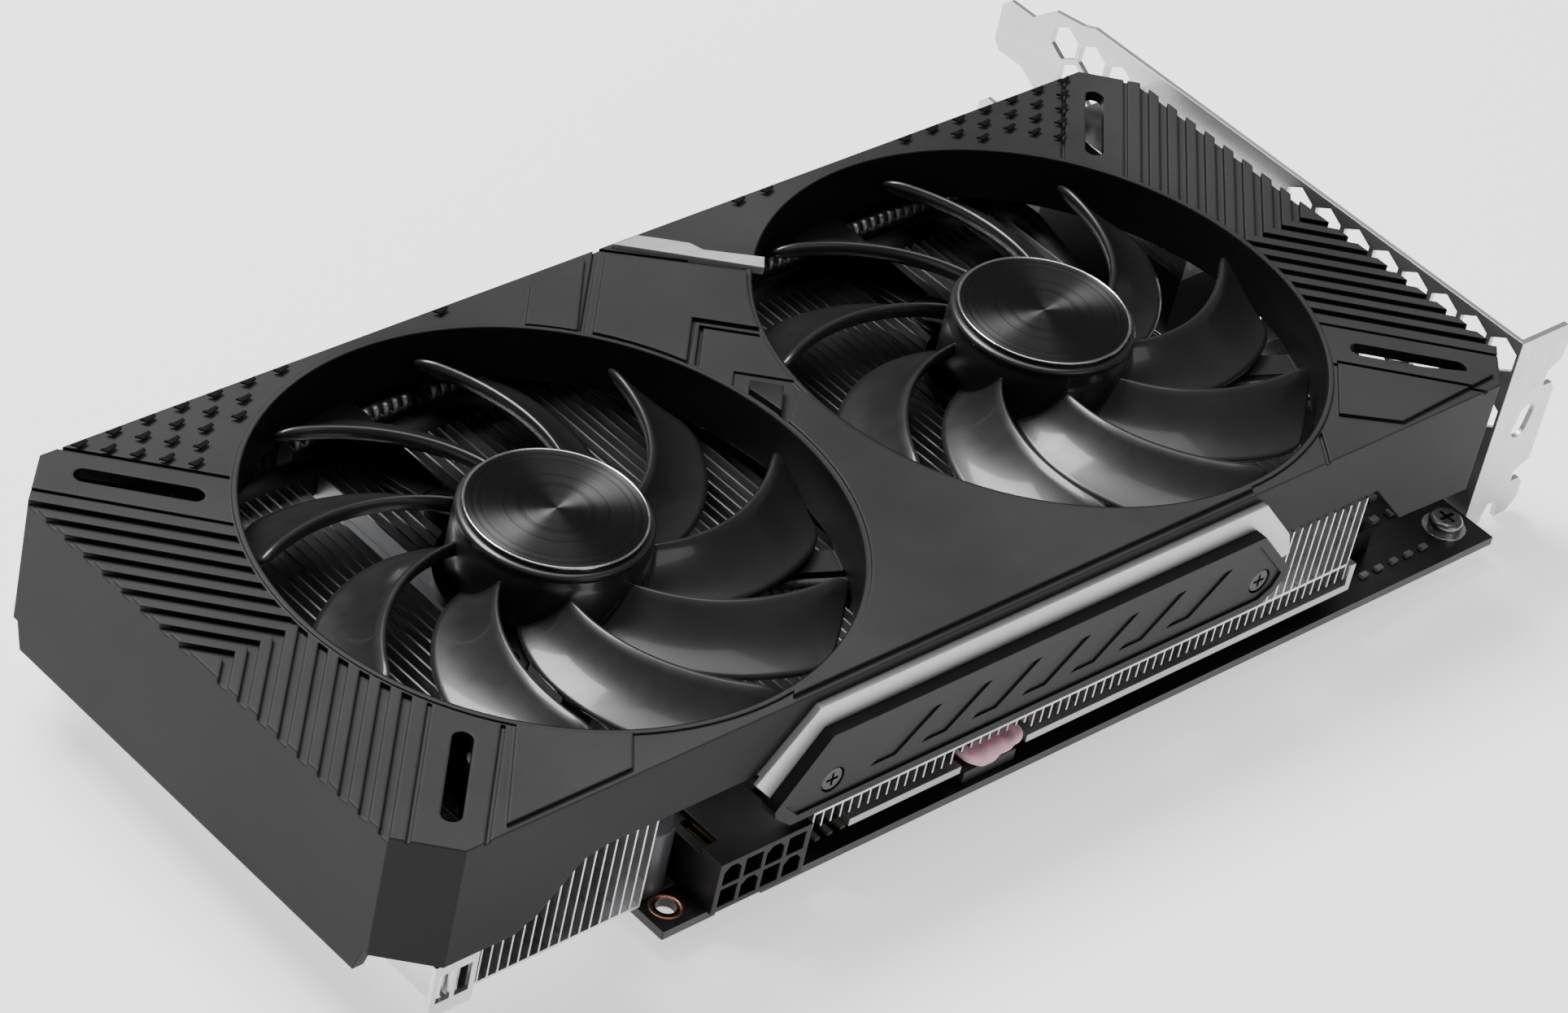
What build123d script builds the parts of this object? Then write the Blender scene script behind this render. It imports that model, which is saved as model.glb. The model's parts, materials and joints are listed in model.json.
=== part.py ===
from build123d import *
import os
from math import atan2, cos, hypot, pi, radians, sin, sqrt

# Graphics card, lying on its back with the fans up.
# Working frame: X runs from the tail of the card to the bracket, Y from the board's
# socket edge to its contact edge, and Z up from the board's component face.
# Every piece moves to the row's frame, with its origin at the centre of the base, when it is written.

# ---- driving dimensions, millimetres ----
# whole card
card_length = 233.9          # tail of the cover to the outer face of the bracket
running_fit = 0.03           # shaft in bush, on the radius
fit_gap = 0.15               # pieces that sit in or through another one
air_gap = 0.5                # neighbours that must not touch

# circuit board
board_thickness = 1.57
board_tail_x = 49.5
board_end_gap = 1.2          # board to the inner face of the bracket
board_width = 106.65
contact_depth = 4.5          # contact tongue past the board's long edge
contact_offset = 57.2        # bracket face to the first contact
contact_run = 85.0
contact_key_offset = 11.65   # first contact to the key slot
contact_key_width = 1.9
contact_pitch = 1.0
board_hole_radius = 1.6
board_hole_inset = 4.0
corner_screw_inset = 5.9     # screw at the bracket end, from both edges

# bracket
bracket_thickness = 0.9
bracket_width = 38.7
bracket_drop = 4.1           # bracket's lower edge below the component face
tab_inset = 6.8              # tab's outer face from the board's socket edge
tab_depth = 12.2
bracket_reach = 120.0        # tab face to the tip of the tongues
tongue_width = 10.19
slot_pitch = 20.32
vent_across = 5.6
vent_web = 1.0

# cover
cover_tail_x = 0.0
cover_end_gap = 4.9          # cover's end to the bracket's outer face
cover_near_y = 1.5
cover_width = 97.0
cover_top_z = 34.2
cover_wall = 2.0
cover_roof = 1.8
cover_chamfer = 7.5          # cut-off corners in plan
cover_post_radius = 2.5
tail_post_inset = 15.5       # posts at the tail, from the cover's long edges
middle_post_inset = 5.5      # posts between the fans, clear of the lead that passes there
cover_relief = 0.8           # height of the raised panels over the roof
tail_wall_bottom_z = 8.0
end_wall_bottom_z = 12.5
near_wall_bottom_z = 22.5

# fans
fan_pitch = 101.0
fan_centre_x = 64.0          # tail fan
opening_margin = 2.5         # fan opening to the cover's long edges
skirt_wall = 1.6
skirt_bottom_z = 25.0
rotor_clearance = 1.8        # blade tips to the opening
hub_radius = 15.0
hub_wall = 1.7
hub_top_z = 36.0
hub_bottom_z = 25.3
hub_roof = 1.4
disc_radius = 13.9
disc_height = 0.9
blade_count = 9
blade_sweep = 37.0           # degrees that the tip leads the root
blade_lag_root = 27.0        # degrees between a blade's two edges
blade_lag_tip = 21.0
blade_top_z = 31.3
blade_bottom_z = 24.9
blade_thickness = 1.3
shaft_radius = 1.5
bush_wall = 1.1
tube_wall = 1.4
stator_radius = 11.3
magnet_wall = 1.4
magnet_gap = 0.5

# fan frames
arm_angles = (95.0, 215.0, 335.0)
arm_width = 5.0
arm_foot_widths = (11.0, 11.0, 5.0)    # where each arm meets the rim
frame_bottom_z = 22.2
frame_thickness = 1.9
motor_base_radius = 16.5
arm_screw_radius = 20.3
arm_screw_shank = 0.9
arm_screw_head = 1.7
ear_radius = 3.3
ear_thickness = 1.3
head_sink = 0.9
lead_radius = 0.75
lead_angle = 335.0           # the arm that the lead runs beside

# heat sink
fin_pitch = 1.9
fin_thickness = 0.3
fin_top_z = 22.0
fin_bottom_z = 5.4
fin_tail_x = 11.0
fin_end_x = 195.0
power_fin_end_x = 77.2       # fins over the power stages stop higher up to here
fin_edge_inset = 0.2         # fins behind the face of the cover's near wall
power_fin_bottom_z = 10.2
tail_fin_bottom_z = 3.0
fold_height = 0.5
fold_z = 8.2
pipe_radius = 3.0
pipe_far_inset = 8.5         # pipes along the fins, from the cover's long edges
pipe_near_inset = 25.5
pipe_base_y = (57.0, 43.0)
pipe_top_z = 18.9
cold_plate_size = 42.0
cold_plate_thickness = 3.4
base_plate_thickness = 1.4
base_plate_z = 3.0
base_plate_tail_x = 86.0
base_plate_near_y = 0.8
base_plate_far_y = 94.0

# processor and memory
chip_x = 141.0
chip_y = 50.0
package_size = 37.5
package_height = 1.2
die_width = 24.0
die_length = 18.5
die_height = 0.8
memory_width = 14.0
memory_length = 12.0
memory_height = 1.2
choke_size = 9.0
choke_height = 6.6

# eight-way power header
header_x = 57.8
header_length = 18.0
header_height = 9.6
header_depth = 13.5
header_pitch = 4.2
header_cell = 3.4

# side plate on the near wall
plate_left_x = 65.3
plate_right_x = 174.2
plate_face_depth = 3.4       # from the cover's near face out to the plate's front
plate_rim = 0.4              # raised border round the plate's front
plate_bottom_z = 13.0
plate_top_z = 27.9
plate_fin_gap = 0.3
trim_thickness = 1.2
trim_top_z = 32.2
plate_screw_insets = (11.5, 6.8)
plate_screw_z = 18.1
plate_screw_shank = 1.0
plate_screw_head = 2.1

# ---- places worked out from the values above ----
bracket_inner_x = card_length - bracket_thickness
board_end_x = bracket_inner_x - board_end_gap
cover_end_x = card_length - cover_end_gap
cover_far_y = cover_near_y + cover_width
centre_y = cover_near_y + cover_width / 2
opening_radius = cover_width / 2 - opening_margin
rotor_radius = opening_radius - rotor_clearance
pipe_rows_y = (cover_far_y - pipe_far_inset, cover_near_y + pipe_near_inset)
roof_under_z = cover_top_z - cover_roof
panel_top_z = cover_top_z + cover_relief
middle_x = fan_centre_x + fan_pitch / 2
fan_centres = {"tail": fan_centre_x, "bracket": fan_centre_x + fan_pitch}
frame_top_z = frame_bottom_z + frame_thickness
ear_bottom_z = frame_top_z - ear_thickness
lead_side = ear_radius + lead_radius + fit_gap
board_bottom_z = -board_thickness
fin_near_y = cover_near_y + cover_wall + fit_gap
fin_far_y = cover_far_y - cover_wall - fit_gap
pipe_base_z = fin_bottom_z + pipe_radius
main_fin_near_y = cover_near_y - fin_edge_inset
plate_front_y = cover_near_y - plate_face_depth
plate_low_back_y = main_fin_near_y - plate_fin_gap
plate_step_z = near_wall_bottom_z + 0.3
trim_front_y = cover_near_y - trim_thickness
row_shift = Location((
    -(card_length + tab_depth) / 2,
    -(plate_front_y + tab_inset + bracket_reach) / 2,
    bracket_drop,
))

nodes = {}


def block(x0, x1, y0, y1, z0, z1):
    """Box between two corners."""
    return Pos((x0 + x1) / 2, (y0 + y1) / 2, (z0 + z1) / 2) * Box(x1 - x0, y1 - y0, z1 - z0)


def rod(x, y, z0, z1, radius):
    """Upright cylinder between two heights."""
    return Pos(x, y, (z0 + z1) / 2) * Cylinder(radius, z1 - z0)


def tube(x, y, z0, z1, outer, inner):
    return rod(x, y, z0, z1, outer) - rod(x, y, z0 - 1, z1 + 1, inner)


def plan(points):
    """Flat face in plan from its corners."""
    return make_face(Polyline(*points, close=True))


def slab(points, z0, z1):
    return Pos(0, 0, z0) * extrude(plan(points), z1 - z0, dir=(0, 0, 1))


def side_prism(points, y0, y1):
    """Prism along Y from corners given as X and Z."""
    face = make_face(Polyline(*[(x, y0, z) for x, z in points], close=True))
    return extrude(face, y1 - y0, dir=(0, 1, 0))


def end_prism(points, x0, x1):
    """Prism along X from corners given as Y and Z."""
    face = make_face(Polyline(*[(x0, y, z) for y, z in points], close=True))
    return extrude(face, x1 - x0, dir=(1, 0, 0))


def group(shapes):
    """Separate solids kept together in one node."""
    return Compound(children=[solid for shape in shapes for solid in shape.solids()])


# ---- cover ----
slot_length = 19.0
slot_width = 3.1
slot_from_middle = 98.5      # along the card, from the middle between the fans
slot_from_edge = 12.4        # across the card, from the cover's long edges
band_width = 10.5            # flat band round each slot
rib_pitch = 4.45             # measured across the card
rib_groove = 1.5
rib_depth = 0.9
rib_count = 9
line_width = 0.7             # thin grooves beside the bands
line_depth = 0.5
lug_half = 6.0               # lugs for the side plate's screws, each way along the card
border_offset = 1.3          # thin groove round the arrow panel


def cover_outline(inset=0.0):
    x0, x1 = cover_tail_x + inset, cover_end_x - inset
    y0, y1 = cover_near_y + inset, cover_far_y - inset
    c = cover_chamfer - inset * (2 - sqrt(2))
    return [(x0 + c, y0), (x1 - c, y0), (x1, y0 + c), (x1, y1 - c),
            (x1 - c, y1), (x0 + c, y1), (x0, y1 - c), (x0, y0 + c)]


def slot_places():
    """Middle of each corner slot, and the signs that point from it to the middle of the card."""
    for sx in (1, -1):
        for sy in (1, -1):
            x = middle_x - sx * slot_from_middle
            y = centre_y - sy * (cover_width / 2 - slot_from_edge)
            yield x, y, sx, sy


def strip(x, y, angle, length, width, z0, z1):
    """Straight bar laid at an angle."""
    return Pos(x, y, (z0 + z1) / 2) * Rot(0, 0, angle) * Box(length, width, z1 - z0)


def band_lines():
    """Thin grooves along both sides of the corner bands, out to the cover's edge."""
    lines = []
    reach = 26.0
    for x, y, sx, sy in slot_places():
        for side in (-1, 1):
            w = side * band_width / 2 / sqrt(2)
            lines.append(strip(x - sx * w - sx * 2, y + sy * w - sy * 2, 45 * sx * sy, 2 * reach, line_width,
                               cover_top_z - line_depth, cover_top_z + 2))
    return lines


def rib_grooves():
    """Arrow-shaped grooves at both ends, pointing at the fans."""
    grooves = []
    h = rib_groove / sqrt(2)
    out = 2.0
    for k in range(1, rib_count + 1):
        rise = k * rib_pitch
        half = [(-out, rise + out + h), (rise + h, 0.0)]
        back = [(-out, -rise - out - h), (-out, -rise - out + h), (rise - h, 0.0), (-out, rise + out - h)]
        arrow = half + back
        tail = [(cover_tail_x + x, centre_y + y) for x, y in arrow]
        end = [(2 * middle_x - x, y) for x, y in tail]
        for outline in (tail, end):
            grooves.append(slab(outline, cover_top_z - rib_depth, cover_top_z + 2))
    return grooves


def panel_outlines():
    """Raised flat panels between the fans and at the near corners, and their heights."""
    m, c = middle_x, centre_y
    near = cover_near_y + 1.0 - c
    shapes = {
        "facet": (0.6, [(-16.5, 45.8), (-4.5, 47.0), (-19.7, 31.3), (-27.0, 35.2)]),
        "arrow": (0.8, [(-0.7, 46.4), (18.5, 30.2), (11.0, 17.6), (0.5, 27.2), (-8.6, 18.4), (-16.5, 31.2)]),
        "collar": (0.4, [(0.5, 26.3), (-8.9, 17.6), (-11.5, 5.2), (-2.5, 14.0), (6.2, 6.0), (11.3, 16.6)]),
        "pad": (1.5, [(-2.9, 10.1), (0.9, 6.5), (-5.8, 0.0), (-9.6, 3.2)]),
        "apron": (0.7, [(-5.3, -1.0), (2.6, 5.0), (12.0, -4.0), (36.0, -36.0), (50.0, near), (-46.0, near),
                        (-36.0, -38.0), (-12.0, -7.0)]),
        "near_tail": (0.6, [(31.3 - m, -30.6), (44.4 - m, -40.2), (38.0 - m, near), (15.3 - m, near)]),
        "near_end": (0.6, [(201.7 - m, -30.7), (222.0 - m, -46.4), (199.0 - m, near), (191.1 - m, -41.0)]),
    }
    for name, (height, points) in shapes.items():
        yield height, [(m + x, c + y) for x, y in points]


def panel_borders():
    """Thin grooves that follow the arrow panel and bound the near corner by the bracket."""
    outlines = [points for height, points in panel_outlines()]
    arrow = plan(outlines[1])
    outer = offset(arrow, amount=border_offset + line_width, kind=Kind.INTERSECTION)
    inner = offset(arrow, amount=border_offset, kind=Kind.INTERSECTION)
    ring = Pos(0, 0, cover_top_z - line_depth) * extrude(outer - inner, 4, dir=(0, 0, 1))
    x, y = 187.0, cover_near_y + 8.5
    corner = [(x, y + 12), (x, y), (x - 7.0, cover_near_y - 1)]
    grooves = [ring]
    for (ax, ay), (bx, by) in zip(corner, corner[1:]):
        length = hypot(bx - ax, by - ay)
        angle = atan2(by - ay, bx - ax) * 180 / pi
        grooves.append(strip((ax + bx) / 2, (ay + by) / 2, angle, length + line_width, line_width,
                             cover_top_z - line_depth, cover_top_z + 2))
    return grooves


def post_places():
    """Posts under the roof, clear of the fans and the heat pipes."""
    for x, inset in ((fin_tail_x + 13.0, tail_post_inset), (middle_x, middle_post_inset)):
        yield x, cover_near_y + inset
        yield x, cover_far_y - inset


def near_wall_cut():
    """The near wall's lower edge: low at both corners, high over the socket and the fins."""
    x0, x1 = cover_tail_x, cover_end_x
    low, high = end_wall_bottom_z, near_wall_bottom_z
    below = -20.0
    return [(x0 - 5, below), (x0 - 5, low), (x0 + 20, low), (x0 + 24, low + 2), (x0 + 31, high - 1), (x0 + 35, high),
            (x1 - 32.5, high), (x1 - 24, low + 1.2), (x1 + 5, low), (x1 + 5, below)]


def fan_cover():
    shell = slab(cover_outline(), tail_wall_bottom_z, cover_top_z)
    hollow = slab(cover_outline(cover_wall), tail_wall_bottom_z - 5, roof_under_z)
    shell = shell - hollow
    # open at the bracket end, where the warm air leaves
    shell = shell - block(cover_end_x - cover_wall - 4, cover_end_x + 5, cover_near_y + cover_wall,
                          cover_far_y - cover_wall, -20, roof_under_z)
    corner = cover_chamfer + 3
    shell = shell - block(cover_end_x - corner, cover_end_x + 5, cover_far_y - corner, cover_far_y + 5, -20, roof_under_z)
    # room for the wide display socket
    shell = shell - block(socket_x0 - air_gap, cover_end_x + 5, dvi_y0 - air_gap, dvi_y0 + dvi_length + air_gap,
                          -20, dvi_z0 + dvi_height + air_gap)
    shell = shell - side_prism(near_wall_cut(), cover_near_y - 5, cover_near_y + cover_chamfer)
    # tail wall's lower corners
    for y, s in ((cover_near_y, 1), (cover_far_y, -1)):
        notch = [(y - s * 5, 0), (y - s * 5, end_wall_bottom_z), (y + s * 8.5, end_wall_bottom_z), (y + s * 12, 0)]
        shell = shell - end_prism(notch, cover_tail_x - 5, cover_tail_x + 14)
    shell = shell - block(cover_tail_x + 14, cover_end_x + 5, cover_far_y - 5, cover_far_y + 5, -20, end_wall_bottom_z)
    # lugs behind the side plate, where its screws go in, and posts that stand on the fins
    for x in plate_screw_places():
        low = plate_screw_z - 5
        back = cover_near_y + cover_wall
        lug = block(x - lug_half, x + lug_half, cover_near_y, back, low, near_wall_bottom_z + 1)
        lug = lug + block(x - lug_half, x + lug_half, plate_low_back_y, back, low, plate_step_z)
        hole = Pos(x, cover_near_y, plate_screw_z) * Rot(90, 0, 0) * Cylinder(plate_screw_shank + fit_gap, 20)
        shell = shell + (lug - hole)
    for x, y in post_places():
        shell = shell + rod(x, y, fin_top_z, cover_top_z, cover_post_radius)
    # fan skirts
    for x in fan_centres.values():
        shell = shell + tube(x, centre_y, skirt_bottom_z, cover_top_z, opening_radius + skirt_wall, opening_radius)
    # raised panels and the fan rims
    raised = []
    foot = 0.2
    for height, outline in panel_outlines():
        panel = slab(outline, cover_top_z - foot, cover_top_z + height)
        for x in fan_centres.values():
            panel = panel - rod(x, centre_y, cover_top_z - 1, cover_top_z + 2, opening_radius + 0.9)
        raised += list(panel.solids())
    for x in fan_centres.values():
        raised.append(tube(x, centre_y, cover_top_z - foot, cover_top_z + 0.3, opening_radius + 0.9, opening_radius))
    shell = shell.fuse(*raised)
    # what is cut through or into the roof: openings, corner slots, grooves, the accent strip's pocket
    cuts = []
    for x in fan_centres.values():
        cuts.append(rod(x, centre_y, skirt_bottom_z - 1, panel_top_z + 2, opening_radius))
    for x, y, sx, sy in slot_places():
        slot = Pos(x, y, roof_under_z - 1) * Rot(0, 0, 45 * sx * sy) * SlotOverall(slot_length, slot_width)
        cuts.append(extrude(slot, cover_roof + 3, dir=(0, 0, 1)))
    guard = [rod(x, centre_y, 0, 60, opening_radius + 1.2) for x in fan_centres.values()]
    for groove in rib_grooves() + band_lines() + panel_borders():
        cuts += list(groove.cut(*guard).solids())
    pocket = offset(plan(accent_outline()), amount=fit_gap, kind=Kind.INTERSECTION)
    cuts.append(Pos(0, 0, accent_floor_z) * extrude(pocket, 5, dir=(0, 0, 1)))
    return shell.cut(*cuts)


accent_floor_z = cover_top_z - 0.6


def accent_outline():
    """Bright strip beside the arrow panel."""
    m, c = middle_x, centre_y
    corners = [(2.0, 47.6), (19.5, 31.5), (21.4, 33.6), (13.9, 39.7), (13.1, 42.1), (8.8, 46.0), (6.9, 47.6)]
    return [(m + x, c + y) for x, y in corners]


def accent_strip():
    return slab(accent_outline(), accent_floor_z, panel_top_z)


# ---- side plate ----
def plate_outline():
    x0, x1 = plate_left_x, plate_right_x
    z0, z1 = plate_bottom_z, plate_top_z
    return [(x0 + 4.0, z0), (x1 - 5.7, z0), (x1 - 2.6, z0 + 1.7), (x1, z0 + 5.1), (x1 - 8.9, z1), (x0 + 8.9, z1),
            (x0, z0 + 4.2), (x0 + 0.5, z0 + 2.8)]


def rim_outline():
    """Inner edge of the plate's raised border."""
    x0, x1 = plate_left_x, plate_right_x
    z0, z1 = plate_bottom_z, plate_top_z
    return [(x0 + 5.0, z0 + 1.5), (x1 - 6.2, z0 + 1.5), (x1 - 3.5, z0 + 3.0), (x1 - 2.2, z0 + 5.2), (x1 - 9.6, z1 - 1.6),
            (x0 + 9.8, z1 - 1.6), (x0 + 2.1, z0 + 4.3)]


def side_plate():
    """Plate that stands proud of the cover's near wall, thinner where the fins pass behind it."""
    face = plate_front_y + plate_rim
    plate = side_prism(plate_outline(), plate_front_y, cover_near_y)
    plate = plate - side_prism(rim_outline(), plate_front_y - 1, face)
    plate = plate - block(plate_left_x - 5, plate_right_x + 5, plate_low_back_y, cover_near_y + 5, 0, plate_step_z)
    # plain sunk bars between the two screws
    x0, x1 = plate_screw_places()
    bars = []
    for k in range(plate_bar_count):
        x = x0 + plate_bar_margin + (k + 0.5) * (x1 - x0 - 2 * plate_bar_margin) / plate_bar_count
        lean = 3.0
        z0, z1 = plate_bottom_z + 4.2, plate_top_z - 4.2
        outline = [(x - 3.4 - lean, z0), (x + 1.6 - lean, z0), (x + 3.4 + lean, z1), (x - 1.6 + lean, z1)]
        bars.append(side_prism(outline, face - 1, face + 0.3))
    for x in plate_screw_places():
        bars.append(Pos(x, face, plate_screw_z) * Rot(90, 0, 0) * Cylinder(plate_screw_shank + fit_gap, 20))
        bars.append(Pos(x, face, plate_screw_z) * Rot(90, 0, 0) * Cylinder(plate_screw_head + fit_gap, 2 * head_sink))
    return plate.cut(*bars)


plate_bar_count = 7
plate_bar_margin = 9.0


def plate_screw_places():
    left, right = plate_screw_insets
    return plate_left_x + left, plate_right_x - right


def pan_screw(head_radius, head_height, shank_radius, shank_length):
    """Cross-slot screw, head up, under-head face at zero."""
    screw = Cylinder(head_radius, head_height, align=(Align.CENTER, Align.CENTER, Align.MIN))
    screw = fillet(screw.edges().group_by(Axis.Z)[-1], head_height * 0.45)
    screw = screw + Cylinder(shank_radius, shank_length, align=(Align.CENTER, Align.CENTER, Align.MAX))
    arm = head_radius * 1.1
    thin = head_radius * 0.22
    depth = head_height * 0.55
    for angle in (0, 90):
        screw = screw - Pos(0, 0, head_height - depth / 2 + 0.01) * Rot(0, 0, angle) * Box(arm, thin, depth)
    return screw


def side_plate_screws():
    """Screws sunk into the plate, threaded into the cover's lugs."""
    seat = plate_front_y + plate_rim + head_sink
    screw = pan_screw(plate_screw_head, 0.8, plate_screw_shank, cover_near_y + cover_wall - seat - 0.2)
    return group([Pos(x, seat, plate_screw_z) * Rot(90, 0, 0) * screw for x in plate_screw_places()])


def trim_outline(grow=0.0):
    """Bright edge over the plate's top and down behind both slanted ends."""
    x0, x1 = plate_left_x, plate_right_x
    z1 = plate_top_z - 1.2
    g = grow
    return [(x0 + 2.2, 16.5 - g), (x0 + 11.6, z1 - g), (x1 - 8.8, z1 - g), (x1 - 1.6 - g, 18.4 - g), (x1 + 1.8 + g, 19.0 - g),
            (x1 + 0.2 + g, 23.4), (x1 - 7.8, trim_top_z + g), (x0 + 7.4, trim_top_z + g), (x0 - 2.8 - g, 21.8)]


def side_trim():
    trim = side_prism(trim_outline(), trim_front_y, cover_near_y)
    return trim - block(plate_left_x - 9, plate_right_x + 9, plate_low_back_y, cover_near_y + 1, 0, plate_step_z)


def trim_clear():
    """Room in the plate's back for the trim."""
    return side_prism(trim_outline(fit_gap), trim_front_y - fit_gap, cover_near_y + 1)


# ---- fans ----
def blade_point(r, share, lift):
    """Point on a blade: share 0 at its high leading edge, 1 at its low trailing edge."""
    root = hub_radius + 1.5
    along = (r - root) / (rotor_radius - root)
    lead = blade_sweep * along
    lag = blade_lag_root + (blade_lag_tip - blade_lag_root) * along
    angle = radians(lead - lag * share)
    # the blade is steep at its high edge and flattens towards its low one
    fall = blade_top_z - blade_bottom_z
    bow = 0.9 * sin(pi * share)
    z = blade_top_z - fall * share - bow + lift
    return (r * cos(angle), r * sin(angle), z)


def blade():
    """One swept blade, lofted through flat sections square to the radius."""
    sections = []
    for r in (hub_radius - 0.8, 22.0, 29.5, 37.0, rotor_radius + 1.2):
        mid = blade_point(r, 0.5, 0)
        ang = radians_of(mid)
        out = Vector(cos(ang), sin(ang), 0)
        points = []
        half = blade_thickness / 2
        shares = (0.0, 0.25, 0.5, 0.75, 1.0)
        top = [flatten(blade_point(r, s, half * (0.45 if s in (0.0, 1.0) else 1)), out, r) for s in shares]
        under = [flatten(blade_point(r, s, -half * (0.45 if s in (0.0, 1.0) else 1)), out, r) for s in shares]
        points = top + under[::-1]
        sections.append(make_face(Polyline(*points, close=True)))
    body = loft(sections)
    ring = tube(0, 0, blade_bottom_z - 4, blade_top_z + 4, rotor_radius, hub_radius - 0.9)
    return body & ring


def radians_of(point):
    return atan2(point[1], point[0])


def flatten(point, out, r):
    """Move a point along the radius onto the flat section at distance r."""
    x, y, z = point
    off = r - (x * out.X + y * out.Y)
    return (x + out.X * off, y + out.Y * off, z)


def rotor(x, phase):
    cup = rod(0, 0, hub_bottom_z, hub_top_z, hub_radius)
    cup = chamfer(cup.edges().group_by(Axis.Z)[-1], 0.6)
    cup = cup - rod(0, 0, hub_bottom_z - 1, hub_top_z - hub_roof, hub_radius - hub_wall)
    boss = tube(0, 0, hub_top_z - hub_roof - 1.2, hub_top_z - hub_roof, shaft_radius + 1.6, shaft_radius)
    one = blade()
    body = cup.fuse(boss, *[Rot(0, 0, phase + k * 360 / blade_count) * one for k in range(blade_count)])
    return Pos(x, centre_y, 0) * body


def hub_disc(x):
    disc = rod(x, centre_y, hub_top_z, hub_top_z + disc_height, disc_radius)
    return chamfer(disc.edges().group_by(Axis.Z)[-1], 0.35)


def rotor_magnet(x):
    outer = hub_radius - hub_wall
    return tube(x, centre_y, hub_bottom_z + 0.4, hub_top_z - hub_roof - 1.6, outer, outer - magnet_wall)


def fan_shaft(x):
    return rod(x, centre_y, frame_top_z + 0.3, hub_top_z - hub_roof, shaft_radius)


def bush_outer():
    return shaft_radius + running_fit + bush_wall


tube_top_z = hub_top_z - hub_roof - 1.2 - 0.5


def fan_bearing(x):
    return tube(x, centre_y, frame_top_z + 0.1, tube_top_z - 0.3, bush_outer(), shaft_radius + running_fit)


def motor_base(x):
    """Motor base: a disc with three ears over the arms, and the tube that holds the bearing."""
    parts = [rod(0, 0, frame_bottom_z, frame_top_z, motor_base_radius)]
    parts.append(tube(0, 0, frame_top_z, tube_top_z, bush_outer() + tube_wall, bush_outer()))
    for angle in arm_angles:
        ear = rod(arm_screw_radius, 0, ear_bottom_z, frame_top_z, ear_radius)
        neck = block(motor_base_radius - 2, arm_screw_radius, -ear_radius, ear_radius, ear_bottom_z, frame_top_z)
        parts += [Rot(0, 0, angle) * ear, Rot(0, 0, angle) * neck]
    base = parts[0].fuse(*parts[1:])
    holes = [Rot(0, 0, lead_angle) * block(stator_radius - 2, motor_base_radius + 4, -lead_side - lead_radius - fit_gap,
                                           -lead_side + lead_radius + fit_gap, frame_bottom_z - 1, frame_top_z)]
    for angle in arm_angles:
        turn = Rot(0, 0, angle)
        holes.append(turn * rod(arm_screw_radius, 0, frame_bottom_z - 1, frame_top_z + 1, arm_screw_shank + fit_gap))
        holes.append(turn * rod(arm_screw_radius, 0, frame_top_z - head_sink, frame_top_z + 1, arm_screw_head + fit_gap))
    return Pos(x, centre_y, 0) * base.cut(*holes)


def fan_arms():
    """Arms that carry the motor bases, from under the base's ears to the rim of the cover's skirts."""
    arms = []
    arm_end = opening_radius + 2.4
    start = motor_base_radius + fit_gap
    inside = block(-200, 400, -200, cover_far_y - cover_wall, 0, 60)
    for x in fan_centres.values():
        for angle, foot_width in zip(arm_angles, arm_foot_widths):
            h, w = arm_width / 2, foot_width / 2
            bar = slab([(arm_screw_radius, -h), (arm_end, -w), (arm_end, w), (arm_screw_radius, h)], frame_bottom_z, ear_bottom_z)
            pad = rod(arm_screw_radius, 0, frame_bottom_z, ear_bottom_z, ear_radius)
            rise_start = arm_screw_radius + ear_radius + fit_gap
            rib = slab([(rise_start, -h), (arm_end, -w), (arm_end, w), (rise_start, h)], frame_bottom_z, frame_top_z)
            foot = block(opening_radius - 2, arm_end, -w, w, frame_bottom_z, skirt_bottom_z) & slab(
                [(rise_start, -h), (arm_end, -w), (arm_end, w), (rise_start, h)], frame_bottom_z, skirt_bottom_z)
            outside = rod(0, 0, frame_top_z, skirt_bottom_z + 1, opening_radius + 0.2)
            arm = (pad.fuse(bar, rib, foot) - outside) - rod(0, 0, 0, 60, start)
            arm = arm - rod(arm_screw_radius, 0, frame_bottom_z - 1, frame_top_z + 1, arm_screw_shank + fit_gap)
            place = Pos(x, centre_y, 0) * Rot(0, 0, angle)
            arms.append((place * arm) & inside)
    return group(arms)


def fan_screws():
    """Screws that hold the motor bases to their arms."""
    screw = pan_screw(arm_screw_head, 0.8, arm_screw_shank, frame_thickness - head_sink)
    places = []
    for x in fan_centres.values():
        for angle in arm_angles:
            a = radians(angle)
            places.append(Pos(x + arm_screw_radius * cos(a), centre_y + arm_screw_radius * sin(a), frame_top_z - head_sink))
    return group([place * screw for place in places])


def stator(x):
    """Laminated core with four wound poles."""
    inner = bush_outer() + tube_wall + running_fit
    core_z0, core_z1 = frame_top_z + 3.2, tube_top_z - 1.2
    parts = [tube(0, 0, core_z0, core_z1, inner + 1.6, inner)]
    for k in range(4):
        turn = Rot(0, 0, 45 + 90 * k)
        parts.append(turn * block(inner + 1, stator_radius - 1.2, -1.3, 1.3, core_z0, core_z1))
        shoe = tube(0, 0, core_z0, core_z1, stator_radius, stator_radius - 1.4) & block(
            0, stator_radius + 1, -6.2, 6.2, core_z0, core_z1)
        parts.append(turn * shoe)
        coil = block(inner + 1.9, stator_radius - 1.9, -2.9, 2.9, core_z0 - 0.9, core_z1 + 0.7)
        parts.append(turn * coil)
    return Pos(x, centre_y, 0) * parts[0].fuse(*parts[1:])


def fan_board(x):
    inner = bush_outer() + tube_wall
    board = tube(x, centre_y, frame_top_z, frame_top_z + 0.8, stator_radius - 0.5, inner + fit_gap)
    return board


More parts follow.
